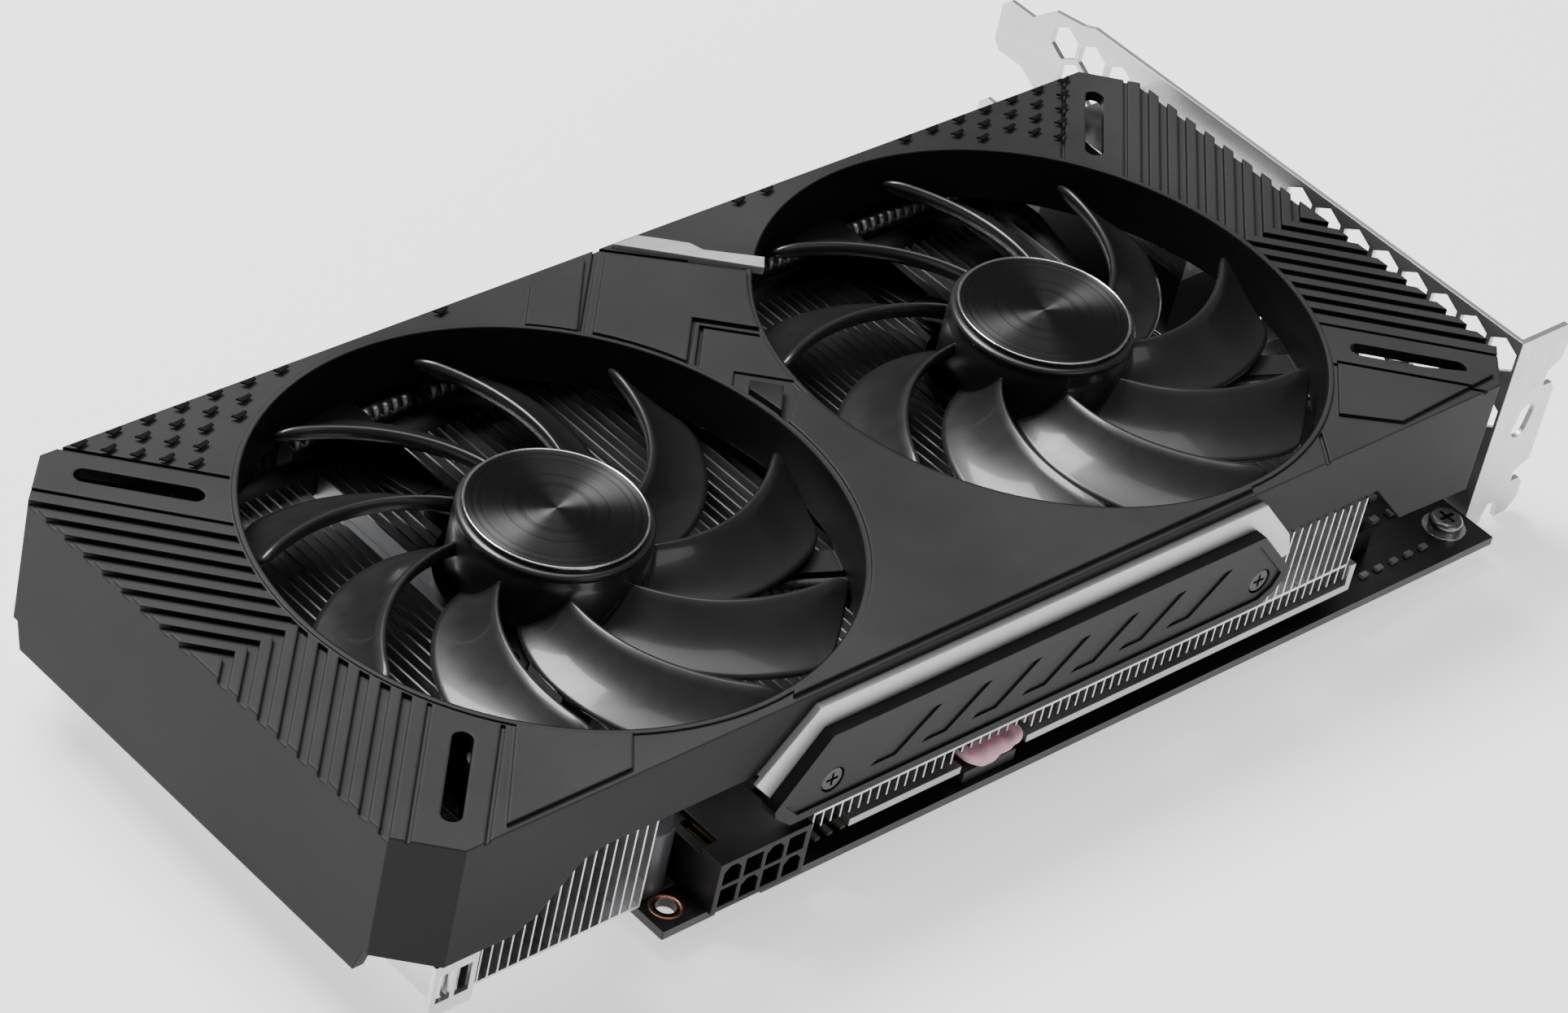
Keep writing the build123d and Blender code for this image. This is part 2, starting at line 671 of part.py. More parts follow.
# ---- leads of the two fans ----
lead_z = frame_top_z - lead_radius
plug_x = 205.0
plug_y = 14.0
plug_height = 7.0


def lead_points(x):
    """Where a fan's lead leaves the motor base, and where it passes the end of the arm."""
    a = radians(lead_angle)
    ends = []
    for r in (stator_radius - 1.6, opening_radius + 5.0):
        ends.append((x + r * cos(a) + lead_side * sin(a), centre_y + r * sin(a) - lead_side * cos(a), lead_z))
    return ends


def fan_leads():
    near_y = cover_near_y + cover_wall + lead_radius + 0.9
    drop_x = plug_x
    routes = []
    start, out = lead_points(fan_centres["tail"])
    routes.append([start, out, (out[0] + 9, near_y + 7, lead_z), (out[0] + 20, near_y, lead_z),
                   (drop_x - 16, near_y, lead_z), (drop_x - 3, near_y + 1, lead_z),
                   (drop_x + 1.0, plug_y - 2.4, lead_z - 5), (drop_x + 1.0, plug_y - 2.4, plug_height)])
    start, out = lead_points(fan_centres["bracket"])
    routes.append([start, (out[0] - 9, out[1] + 4.2, lead_z), (drop_x + 1.0, plug_y + 6, lead_z - 3),
                   (drop_x + 1.0, plug_y + 2.4, lead_z - 8), (drop_x + 1.0, plug_y + 2.4, plug_height)])
    return routes


def bend_radii(points, largest=6.0):
    """A radius for each corner, as large as its two runs allow."""
    radii = []
    for a, b, c in zip(points, points[1:], points[2:]):
        into = Vector(*b) - Vector(*a)
        out = Vector(*c) - Vector(*b)
        half = radians(into.get_angle(out)) / 2
        run = min(into.length, out.length)
        radii.append(min(largest, 0.45 * run / (sin(half) / cos(half))))
    return radii


def lead(points):
    radii = bend_radii(points)
    print("lead radii", [round(r, 1) for r in radii])
    path = FilletPolyline(*points, radius=radii)
    start = path @ 0
    section = Plane(origin=start, z_dir=path % 0) * Circle(lead_radius)
    return sweep(section, path=path)


# ---- heat sink ----
def comb(x0, x1, y0, y1, bottom, strip_z, count=None):
    """Fins standing across the card, joined by the folded strip near their feet."""
    count = int((x1 - x0 - fin_thickness) / fin_pitch) + 1
    outline = []
    for k in range(count):
        x = x0 + k * fin_pitch
        outline += [(x, strip_z + fold_height), (x, fin_top_z), (x + fin_thickness, fin_top_z),
                    (x + fin_thickness, strip_z + fold_height)]
    under = []
    for k in reversed(range(count)):
        x = x0 + k * fin_pitch
        if bottom < strip_z - 0.1:
            under += [(x + fin_thickness, strip_z), (x + fin_thickness, bottom), (x, bottom), (x, strip_z)]
        elif k in (0, count - 1):
            under += [(x + (fin_thickness if k else 0), strip_z)]
    return side_prism(outline + under, y0, y1)


power_fin_x0 = board_tail_x + 2.1
power_fin_near_y = header_depth + 3.5


def pipe_channels(clear):
    """Room for the pipes along the fins: open to the top for the far one."""
    cuts = []
    r = pipe_radius + clear
    for y in pipe_rows_y:
        cuts.append(Pos((fin_tail_x + fin_end_x) / 2, y, pipe_top_z) * Rot(0, 90, 0) * Cylinder(r, 220))
        cuts.append(block(fin_tail_x - 5, fin_end_x + 10, y - r, y + r, pipe_top_z, fin_top_z + 1))
    return cuts


def base_channels(clear):
    cuts = []
    r = pipe_radius + clear
    x0 = chip_x - cold_plate_size / 2 - 6
    for y in pipe_base_y:
        cuts.append(Pos((x0 + 220) / 2, y, pipe_base_z) * Rot(0, 90, 0) * Cylinder(r, 220 - x0))
    return cuts


def power_fin_count():
    return int((power_fin_end_x - power_fin_x0 - fin_thickness) / fin_pitch) + 1


def power_fin_stack():
    """Short fins over the power stages, behind the power header."""
    stack = comb(power_fin_x0, power_fin_end_x, power_fin_near_y, fin_far_y, power_fin_bottom_z, power_fin_bottom_z)
    return stack.cut(*pipe_channels(fit_gap))


def fin_stack():
    """Tall fins over the processor, out to the near wall's face, and notched round its lugs."""
    main_x0 = power_fin_x0 + power_fin_count() * fin_pitch
    stack = comb(main_x0, fin_end_x, main_fin_near_y, fin_far_y, fin_bottom_z, fold_z)
    notches = []
    for x in plate_screw_places():
        notches.append(block(x - lug_half - fit_gap, x + lug_half + fit_gap, main_fin_near_y - 1, fin_near_y,
                             plate_screw_z - 5 - fit_gap, fin_top_z + 1))
    # room for the bulging pad
    x0, x1 = edge_pad_span()
    notches.append(block(x0 - 1.5, x1 + 1.0, main_fin_near_y - 1, base_plate_near_y + edge_pad_depth + fit_gap,
                         fin_bottom_z - 1, fin_bottom_z + 1.6))
    return stack.cut(*pipe_channels(fit_gap), *base_channels(fit_gap), *notches)


def tail_fin_stack():
    stack = comb(fin_tail_x, board_tail_x - 1.2, fin_near_y, fin_far_y, tail_fin_bottom_z, tail_fin_bottom_z)
    return stack.cut(*pipe_channels(fit_gap))


def fin_end_plate():
    """Bright plate that closes the tail of the fins, with its row of cut-outs."""
    x1 = fin_tail_x - air_gap
    plate = block(x1 - 0.8, x1, fin_near_y, fin_far_y, tail_fin_bottom_z - 0.6, fin_top_z - 1)
    # flange turned along the near edge, with two windows
    front = cover_near_y + 0.7
    z0, z1 = tail_fin_bottom_z - 0.6, end_wall_bottom_z - air_gap
    flange = block(x1 - 3.6, x1 + 4.4, front, front + 0.8, z0, z1)
    plate = plate.fuse(flange, block(x1 - 0.8, x1, front + 0.4, fin_near_y + 0.4, z0, z1))
    cuts = []
    for x in (x1 - 2.6, x1 + 0.8):
        cuts.append(block(x, x + 2.6, front - 1, front + 1.2, z0 + 2.4, z1 - 2.0))
    for k in range(7):
        y = fin_near_y + 8 + k * 12
        cuts.append(Pos(x1, y, 9.5) * Rot(0, 90, 0) * Cylinder(2.4, 4))
    return plate.cut(*cuts)


def pipe_path(row_y, base_y):
    """U-shaped route: along the fins, round the end of the stack, back over the cold plate."""
    bend_x = fin_end_x + 6.4
    tail_x = fin_tail_x + 9
    base_x = chip_x - cold_plate_size / 2
    return [(tail_x, row_y, pipe_top_z), (bend_x, row_y, pipe_top_z),
            (bend_x, base_y, pipe_base_z), (base_x, base_y, pipe_base_z)]


def heat_pipes():
    pipes = []
    for row_y, base_y in zip(pipe_rows_y, pipe_base_y):
        points = pipe_path(row_y, base_y)
        path = FilletPolyline(*points, radius=6.2)
        section = Plane(origin=path @ 0, z_dir=path % 0) * Circle(pipe_radius)
        pipes.append(sweep(section, path=path))
    return group(pipes)


def cold_plate():
    s = cold_plate_size / 2
    z0 = package_height + die_height
    plate = block(chip_x - s, chip_x + s, chip_y - s, chip_y + s, z0, z0 + cold_plate_thickness)
    return chamfer(plate.edges().filter_by(Axis.Z), 2.0)


def base_plate():
    """Plate over the memory, cut away for the cold plate, with the pale edge that shows beside the board."""
    x0, x1 = base_plate_tail_x, fin_end_x + 1
    z0, z1 = base_plate_z, base_plate_z + base_plate_thickness
    plate = block(x0, x1, base_plate_near_y, base_plate_far_y, z0, z1)
    s = cold_plate_size / 2 + air_gap
    plate = plate - block(chip_x - s, chip_x + s, chip_y - s, chip_y + s, z0 - 1, z1 + 1)
    # the gap in its near edge where a pad shows, and the turned-up end by the bracket
    pad_x0, pad_x1 = edge_pad_span()
    plate = plate - block(pad_x0 - 1, pad_x1 + 1, base_plate_near_y - 1, base_plate_near_y + edge_pad_depth + air_gap,
                          z0 - 1, z1 + 1)
    plate = plate + block(x1 - 1.2, x1, base_plate_near_y, base_plate_near_y + 8, z1, z1 + 4)
    for x, y in spring_screw_places():
        plate = plate - rod(x, y, z0 - 1, z1 + 1, 2.6)
    return plate


def memory_places():
    """Six memory chips round the processor."""
    near = chip_y - package_size / 2 - memory_length / 2 - 5.5
    far = chip_y + package_size / 2 + memory_length / 2 + 5.5
    left = chip_x - package_size / 2 - memory_length / 2 - 6.5
    places = [(chip_x - 8.5, near, 0), (chip_x + 8.5, near, 0), (chip_x - 8.5, far, 0), (chip_x + 8.5, far, 0)]
    places += [(left, chip_y - 8.5, 90), (left, chip_y + 8.5, 90)]
    return places


def memory_chips():
    chip = block(-memory_width / 2, memory_width / 2, -memory_length / 2, memory_length / 2, 0, memory_height)
    return group([Pos(x, y, 0) * Rot(0, 0, a) * chip for x, y, a in memory_places()])


def thermal_pads():
    """Soft pads between the memory and the base plate."""
    pads = []
    for x, y, a in memory_places():
        pads.append(Pos(x, y, 0) * Rot(0, 0, a) * block(-6.5, 6.5, -5.5, 5.5, memory_height, base_plate_z))
    return group(pads)


edge_pad_offset = 24.0       # from the base plate's tail end
edge_pad_length = 12.0
edge_pad_depth = 5.0
edge_pad_z = 2.2


def edge_pad_span():
    x0 = base_plate_tail_x + edge_pad_offset
    return x0, x0 + edge_pad_length


def edge_pad():
    """Soft pad that bulges out at the near edge, over one power part."""
    x0, x1 = edge_pad_span()
    return block(x0, x1, base_plate_near_y, base_plate_near_y + edge_pad_depth, edge_pad_z, fin_bottom_z + 1.2)


def near_stage():
    """Power part under the bulging pad."""
    x0, x1 = edge_pad_span()
    return block(x0 + 0.5, x1 - 0.5, base_plate_near_y + 0.3, base_plate_near_y + 9, 0, edge_pad_z)


# ---- board and what stands on it ----
def circuit_board():
    z0 = board_bottom_z
    board = block(board_tail_x, board_end_x, 0, board_width, z0, 0)
    first = bracket_inner_x + bracket_thickness - contact_offset
    tongue = block(first - contact_run, first, board_width, board_width + contact_depth, z0, 0)
    tongue = chamfer(tongue.edges().filter_by(Axis.X).group_by(Axis.Y)[-1], 0.45)
    board = board + tongue
    # hook at the end of the contacts
    hook_x = first - contact_run - 5.5
    board = board + block(hook_x, hook_x + 3.2, board_width, board_width + contact_depth + 1.5, z0, 0)
    cuts = []
    key_x = first - contact_key_offset
    cuts.append(block(key_x - contact_key_width, key_x, board_width - 3, board_width + contact_depth + 1, z0 - 1, 1))
    corner = board_hole_inset
    cuts.append(rod(board_tail_x + corner, corner, z0 - 1, 1, board_hole_radius))
    far_corner = corner_screw_inset
    cuts.append(rod(board_end_x - far_corner, far_corner, z0 - 1, 1, corner_screw_shank + fit_gap))
    # shallow step in the long edge beside the power header, and the clipped tail corner
    cuts.append(block(header_x + 2, header_x + 11, -1, 0.9, z0 - 1, 1))
    cuts.append(slab([(board_tail_x - 1, -1), (board_tail_x + 1.2, -1), (board_tail_x - 1, 1.2)], z0 - 1, 1))
    for x, y in spring_screw_places():
        cuts.append(rod(x, y, z0 - 1, 1, spring_screw_shank + fit_gap))
    for x, y in board_post_places():
        cuts.append(rod(x, y, z0 - 1, 1, post_screw_shank + fit_gap))
    return board.cut(*cuts)


def edge_contacts():
    """Gilded contacts on both faces of the tongue."""
    first = bracket_inner_x + bracket_thickness - contact_offset
    key_x = first - contact_key_offset
    count = int(contact_run / contact_pitch)
    pads = []
    width = 0.7
    thick = 0.05
    y0, y1 = board_width + 0.2, board_width + contact_depth - 0.6
    for k in range(count):
        x = first - 0.5 - k * contact_pitch
        if key_x - contact_key_width - 0.6 < x < key_x + 0.6:
            continue
        pads.append(block(x - width / 2, x + width / 2, y0, y1, 0, thick))
        pads.append(block(x - width / 2, x + width / 2, y0, y1, board_bottom_z - thick, board_bottom_z))
    return group(pads)


corner_screw_shank = 1.4
corner_screw_head = 2.9
washer_radius = 3.7
washer_height = 0.5
spring_screw_shank = 1.2
spring_screw_spread = 56.0
post_screw_shank = 1.0


def corner_screw():
    place = Pos(board_end_x - corner_screw_inset, corner_screw_inset, washer_height)
    grip = washer_height + board_thickness + bracket_thickness
    return place * pan_screw(corner_screw_head, 2.0, corner_screw_shank, grip)


def corner_washer():
    x, y = board_end_x - corner_screw_inset, corner_screw_inset
    return tube(x, y, 0, washer_height, washer_radius, corner_screw_shank + fit_gap)


def spring_screw_places():
    h = spring_screw_spread / 2
    return [(chip_x + sx * h, chip_y + sy * h) for sx in (-1, 1) for sy in (-1, 1)]


def spring_screws():
    """Sprung screws that pull the cold plate down, heads under the board."""
    head_z = board_bottom_z - 2.3
    screws = []
    for x, y in spring_screw_places():
        body = rod(x, y, head_z, head_z + 0.7, 2.6) + rod(x, y, head_z + 0.7, base_plate_z + 1.0, spring_screw_shank)
        body = body - Pos(x, y, head_z) * Box(3.4, 0.6, 0.7) - Pos(x, y, head_z) * Box(0.6, 3.4, 0.7)
        screws.append(body)
    return group(screws)


def screw_springs():
    """Short coil springs under those heads."""
    wire = 0.25
    coil_radius = spring_screw_shank + wire + 0.25
    bottom = board_bottom_z - 2.3 + 0.7 + wire
    height = board_bottom_z - wire - bottom
    springs = []
    path = Helix(pitch=height / 1.5, height=height, radius=coil_radius)
    section = Plane(origin=path @ 0, z_dir=path % 0) * Circle(wire)
    coil = sweep(section, path=path)
    for x, y in spring_screw_places():
        springs.append(Pos(x, y, bottom) * coil)
    return group(springs)


def board_post_places():
    """Where the base plate is screwed to the board."""
    return [(base_plate_tail_x + 5, 12.0), (base_plate_tail_x + 5, 90.0), (fin_end_x - 6, 12.0), (fin_end_x - 6, 90.0)]


def plate_posts():
    """Spacers between the board and the base plate."""
    return group([tube(x, y, 0, base_plate_z, 2.2, post_screw_shank + fit_gap) for x, y in board_post_places()])


def post_screws():
    screw = pan_screw(2.0, 0.9, post_screw_shank, board_thickness + base_plate_z)
    return group([Pos(x, y, board_bottom_z) * Rot(180, 0, 0) * screw for x, y in board_post_places()])


def gpu_package():
    s = package_size / 2
    return block(chip_x - s, chip_x + s, chip_y - s, chip_y + s, 0, package_height)


def gpu_die():
    return block(chip_x - die_width / 2, chip_x + die_width / 2, chip_y - die_length / 2, chip_y + die_length / 2,
                 package_height, package_height + die_height)


def choke_places():
    """Column of chokes beside the power stages, and three at the bracket end."""
    places = [(board_tail_x + 22.5, 27.0 + k * 11.0) for k in range(6)]
    places += [(fin_end_x + 15.0, 36.0 + k * 11.0) for k in range(2)]
    return places


def power_chokes():
    h = choke_size / 2
    body = chamfer(block(-h, h, -h, h, 0, choke_height).edges().filter_by(Axis.Z), 1.0)
    return group([Pos(x, y, 0) * body for x, y in choke_places()])


def power_stages():
    """Flat power packages beside the chokes."""
    stage = block(-3, 3, -2.5, 2.5, 0, 0.9)
    return group([Pos(board_tail_x + 12.6, 27.0 + k * 11.0, 0) * stage for k in range(6)] + [near_stage()])


def capacitor_places():
    """Where the capacitors stand, and how tall: one clear of the fins, the rest under them."""
    yield board_tail_x + 4.1, 10.5, 12.0
    for k in range(6):
        yield board_tail_x + 5.4, 22.0 + k * 11.0, 9.0


def capacitors():
    """Round capacitors at the tail of the board."""
    radius = 3.8
    foot_height = 0.6
    out = []
    for x, y, height in capacitor_places():
        can = rod(x, y, foot_height, height, radius)
        can = fillet(can.edges().group_by(Axis.Z)[-1], 0.6)
        foot = block(x - radius, x + radius, y - radius, y + radius, 0, foot_height)
        out.append(can + foot)
    return group(out)


def small_parts():
    """Chip resistors and capacitors where the board shows past the fins."""
    parts = []
    for row in range(4):
        for column in range(5):
            x = fin_end_x + 8.0 + column * 4.2
            y = 12.5 + row * 4.4
            if hypot(x - plug_x - 1, y - plug_y) < 7:
                continue
            length = 1.6 if (row + column) % 2 else 2.4
            parts.append(block(x, x + length, y, y + 1.2, 0, 0.7))
    for k in range(5):
        x = fin_end_x + 8.5 + k * 3.6
        parts.append(block(x, x + 1.5, 3.6, 4.5, 0, 0.6))
    for k in range(6):
        x = header_x + header_length + 3.5 + k * 2.6
        parts.append(block(x, x + 1.0, 3.0, 4.9, 0, 0.6))
    return group(parts)


def control_chip():
    x, y = fin_end_x + 15, 84
    return group([block(fin_end_x + 2.5, fin_end_x + 9.5, 68, 75, 0, 0.9), block(fin_end_x + 3, fin_end_x + 8, 80, 86, 0, 1.2)])


# ---- power header ----
def header_cells():
    x0 = header_x + (header_length - 3 * header_pitch) / 2
    z0 = (header_height - header_pitch) / 2
    for row in range(2):
        for column in range(4):
            yield x0 + column * header_pitch, z0 + row * header_pitch, (row + column) % 2


def power_header():
    """Housing with eight keyed cells, open towards the near edge."""
    front = -0.8
    body = block(header_x, header_x + header_length, front, front + header_depth, 0, header_height)
    # latch rail on top, and the wider collar behind the mouth
    rail_x = header_x + header_length / 2
    cuts = [block(header_x - 1, header_x + 3.2, front + 4.5, front + header_depth + 1, header_height - 1.1, header_height + 1),
            block(header_x + header_length - 3.2, header_x + header_length + 1, front + 4.5, front + header_depth + 1,
                  header_height - 1.1, header_height + 1)]
    h = header_cell / 2
    cut = 1.0
    depth = header_depth - 2.5
    for x, z, keyed in header_cells():
        if keyed:
            outline = [(x - h, z - h), (x + h, z - h), (x + h, z + h - cut), (x + h - cut, z + h),
                       (x - h + cut, z + h), (x - h, z + h - cut)]
        else:
            outline = [(x - h, z - h), (x + h, z - h), (x + h, z + h), (x - h, z + h)]
        cuts.append(side_prism(outline, front - 1, front + depth))
    return body.cut(*cuts)


def header_pins():
    """Contact pins in the cells."""
    front = -0.8
    pins = []
    for x, z, keyed in header_cells():
        pins.append(block(x - 0.55, x + 0.55, front + 3.5, front + header_depth - 2.5, z - 0.55, z + 0.55))
    return group(pins)


# ---- display sockets ----
socket_x0 = 213.0
dvi_y0 = 60.5
dvi_length = 34.0
dvi_z0 = 18.7
dvi_height = 11.2
low_socket_z0 = 1.0


def socket_openings():
    """Mouths through the bracket: name, first Y, length, first Z, height."""
    return [("wide", dvi_y0, dvi_length, dvi_z0, dvi_height),
            ("left", 78.5, 16.0, low_socket_z0, 5.8),
            ("right", 57.0, 17.2, low_socket_z0, 5.8)]


def socket_shells():
    """Folded metal shells of the display sockets."""
    shells = []
    wall = 0.6
    for name, y0, length, z0, height in socket_openings():
        outer = block(socket_x0, bracket_inner_x - 0.1, y0, y0 + length, z0, z0 + height)
        inner = block(socket_x0 + wall, card_length, y0 + wall, y0 + length - wall, z0 + wall, z0 + height - wall)
        shells.append(outer - inner)
    return group(shells)


def socket_tongues():
    """Plastic blocks inside the shells, and the housing they stand on."""
    parts = []
    wall = 0.6
    for name, y0, length, z0, height in socket_openings():
        back = socket_x0 + wall
        if name == "wide":
            block_depth = 12.0
            body = block(back, back + block_depth, y0 + wall, y0 + length - wall, z0 + wall, z0 + height - wall)
            cuts = []
            for row in range(3):
                for column in range(8):
                    y = y0 + 5.2 + column * 2.6
                    z = z0 + 2.6 + row * 2.5
                    cuts.append(Pos(back + block_depth, y, z) * Box(3, 1.1, 1.1))
            parts.append(body.cut(*cuts))
        else:
            seat = block(back, back + 5, y0 + wall, y0 + length - wall, z0 + wall, z0 + height - wall)
            mid = z0 + height / 2
            parts.append(seat + block(back + 5, bracket_inner_x - 2.5, y0 + 2.6, y0 + length - 2.6, mid - 0.6, mid + 0.6))
    # solid stand between the lower sockets and the wide one
    low_top = low_socket_z0 + 5.8
    parts.append(block(socket_x0 + 1, socket_x0 + 14, dvi_y0 + 1, dvi_y0 + dvi_length - 1, low_top, dvi_z0))
    return group(parts)


# ---- bracket ----
def vent_places():
    """Honeycomb of vents: near half full height, far end beside the tongues."""
    pitch_y = vent_across + vent_web
    pitch_z = pitch_y * sqrt(3) / 2
    top_z = bracket_width - bracket_drop - 4.3
    places = []
    for row in range(4):
        z = top_z - row * pitch_z
        shift = pitch_y / 2 if row % 2 else 0
        for k in range(8):
            y = tab_inset + 3.4 + shift + k * pitch_y
            if y < dvi_y0 - vent_across / 2 - 0.9:
                places.append((y, z))
    far_y = dvi_y0 + dvi_length + vent_across / 2 + 1.2
    for along, down in ((0, 0), (1, 0), (2, 0), (0.5, 1), (1.5, 1)):
        places.append((far_y + along * pitch_y, top_z - 2.0 - down * pitch_z))
    return places


def tongue_outline():
    """Bracket's face in Y and Z, with its two tongues."""
    y0 = tab_inset
    tip = tab_inset + bracket_reach
    z0 = -bracket_drop
    z1 = bracket_width - bracket_drop
    low0 = z0 + 2.3
    low1 = low0 + tongue_width
    high0 = low0 + slot_pitch
    high1 = high0 + tongue_width
    body_end = tip - 16.5
    r = 1.5
    return [(y0, z0), (body_end, z0), (body_end + 3.5, low0), (tip - r, low0), (tip, low0 + r), (tip, low1 - r),
            (tip - r, low1), (tip - 8, low1), (tip - 11, low1 + 2.2), (tip - 11, high0 - 2.2), (tip - 7, high0),
            (tip - r, high0), (tip, high0 + r), (tip, high1 - r), (tip - r, high1), (tip - 7, high1),
            (tip - 11.5, z1 - 2), (body_end - 1.5, z1 - 1.0), (body_end - 4, z1), (y0, z1)]


def tab_outline():
    """Fixing tab in X and Z: ears, a screw notch for each slot and an oval hole."""
    x0 = bracket_inner_x
    x1 = card_length + tab_depth
    neck = x1 - 3.3
    low = -bracket_drop
    top = bracket_width - bracket_drop
    return [(x0, low), (card_length + 3.6, low), (card_length + 3.6, low + 1.5), (card_length + 4.4, low + 3.6),
            (card_length + 6.4, low + 3.6), (card_length + 7.2, low + 1.5), (card_length + 7.2, low - 0.0),
            (x1 - 2.2, low), (x1, low + 2.0), (x1, low + 5.4), (x1 - 1.2, low + 6.8), (neck, low + 6.8), (neck, low + 9.0),
            (x1, low + 10.6), (x1, low + 25.0), (x1 - 1.0, low + 26.6), (neck, low + 26.8), (neck, low + 29.6),
            (x1 - 0.4, low + 31.4), (x1, low + 36.2), (x1 - 1.8, top), (x0, top)]


def bracket():
    plate = end_prism(tongue_outline(), bracket_inner_x, card_length)
    tab = side_prism(tab_outline(), tab_inset, tab_inset + bracket_thickness)
    oval = Pos(card_length + 6.4, tab_inset, 16.3) * Rot(90, 0, 0) * Rot(0, 0, 78) * SlotOverall(6.6, 3.7)
    tab = tab - extrude(oval, 4, both=True)
    # lug turned in under the board for the corner screw
    lug_x, lug_y = board_end_x - corner_screw_inset, corner_screw_inset
    lug = block(lug_x - 4, bracket_inner_x + 0.2, lug_y - 3.5, lug_y + 7, board_bottom_z - bracket_thickness, board_bottom_z)
    lug = lug - rod(lug_x, lug_y, board_bottom_z - 3, board_bottom_z + 1, corner_screw_shank + fit_gap)
    body = plate.fuse(tab, lug)
    cuts = []
    hexagon = RegularPolygon(vent_across / sqrt(3), 6)
    for y, z in vent_places():
        cell = Pos(bracket_inner_x - 1, y, z) * Rot(0, 90, 0) * Rot(0, 0, 0) * hexagon
        cuts.append(extrude(cell, bracket_thickness + 2, dir=(1, 0, 0)))
    for name, y0, length, z0, height in socket_openings():
        cuts.append(block(bracket_inner_x - 1, card_length + 1, y0 - fit_gap, y0 + length + fit_gap,
                          z0 - fit_gap, z0 + height + fit_gap))
    for y, z in bracket_screw_places():
        cuts.append(Pos(card_length, y, z) * Rot(0, 90, 0) * Cylinder(bracket_screw_shank + fit_gap, 4))
    return body.cut(*cuts)


bracket_screw_shank = 1.4
bracket_screw_head = 2.6


def bracket_screw_places():
    """Screws beside the sockets."""
    return [(dvi_y0 + dvi_length + 3.6, 6.5), (53.5, 4.0)]


def bracket_screws():
    screw = pan_screw(bracket_screw_head, 1.5, bracket_screw_shank, bracket_thickness + 3.4)
    return group([Pos(card_length, y, z) * Rot(0, 90, 0) * screw for y, z in bracket_screw_places()])


def bracket_blocks():
    """Threaded lugs on the board that the bracket is screwed to."""
    lugs = []
    for y, z in bracket_screw_places():
        lug = block(bracket_inner_x - 7, bracket_inner_x, y - 2.4, y + 2.4, 0, z + 2.6)
        hole = Pos(bracket_inner_x - 2, y, z) * Rot(0, 90, 0) * Cylinder(bracket_screw_shank + fit_gap, 8)
        lugs.append(lug - hole)
    return group(lugs)


# ---- plug for the fan leads ----
def fan_plug():
    x, y = plug_x + 1.0, plug_y
    return block(x - 2.2, x + 2.2, y - 4.6, y + 4.6, 2.0, plug_height)


def fan_socket():
    x, y = plug_x + 1.0, plug_y
    outer = block(x - 3.4, x + 3.4, y - 5.8, y + 5.8, 0, 5.2)
    return outer - block(x - 2.2 - fit_gap, x + 2.2 + fit_gap, y - 4.6 - fit_gap, y + 4.6 + fit_gap, 2.0, 6)


# ---- write the nodes ----
nodes["fan_cover"] = fan_cover()
nodes["accent_strip"] = accent_strip()
nodes["side_plate"] = side_plate() - trim_clear()
nodes["side_plate_screws"] = side_plate_screws()
nodes["side_trim"] = side_trim()
phases = {"tail": 3.0, "bracket": 6.0}
for name, x in fan_centres.items():
    nodes[name + "_rotor"] = rotor(x, phases[name])
    nodes[name + "_hub_disc"] = hub_disc(x)
    nodes[name + "_rotor_magnet"] = rotor_magnet(x)
    nodes[name + "_fan_shaft"] = fan_shaft(x)
    nodes[name + "_fan_bush"] = fan_bearing(x)
    nodes[name + "_motor_base"] = motor_base(x)
    nodes[name + "_stator"] = stator(x)
    nodes[name + "_fan_board"] = fan_board(x)
nodes["fan_arms"] = fan_arms()
nodes["fan_screws"] = fan_screws()
for name, points in zip(fan_centres, fan_leads()):
    nodes[name + "_fan_lead"] = lead(points)
nodes["fan_plug"] = fan_plug()
nodes["fan_socket"] = fan_socket()
nodes["fin_stack"] = fin_stack()
nodes["power_fin_stack"] = power_fin_stack()
nodes["tail_fin_stack"] = tail_fin_stack()
nodes["fin_end_plate"] = fin_end_plate()
nodes["heat_pipes"] = heat_pipes()
nodes["cold_plate"] = cold_plate()
nodes["base_plate"] = base_plate()
nodes["thermal_pads"] = thermal_pads()
nodes["edge_pad"] = edge_pad()
nodes["circuit_board"] = circuit_board()
nodes["edge_contacts"] = edge_contacts()
nodes["gpu_package"] = gpu_package()
nodes["gpu_die"] = gpu_die()
nodes["memory_chips"] = memory_chips()
nodes["power_chokes"] = power_chokes()
nodes["power_stages"] = power_stages()
nodes["capacitors"] = capacitors()
nodes["small_parts"] = small_parts()
nodes["control_chips"] = control_chip()
nodes["power_header"] = power_header()
nodes["header_pins"] = header_pins()
nodes["socket_shells"] = socket_shells()
nodes["socket_tongues"] = socket_tongues()
nodes["bracket"] = bracket()
nodes["bracket_screws"] = bracket_screws()
nodes["bracket_lugs"] = bracket_blocks()
nodes["corner_screw"] = corner_screw()
nodes["corner_washer"] = corner_washer()
nodes["spring_screws"] = spring_screws()
nodes["screw_springs"] = screw_springs()
nodes["plate_posts"] = plate_posts()
nodes["post_screws"] = post_screws()

os.makedirs("parts", exist_ok=True)
for name, shape in nodes.items():
    export_step(row_shift * shape, "parts/" + name + ".step")
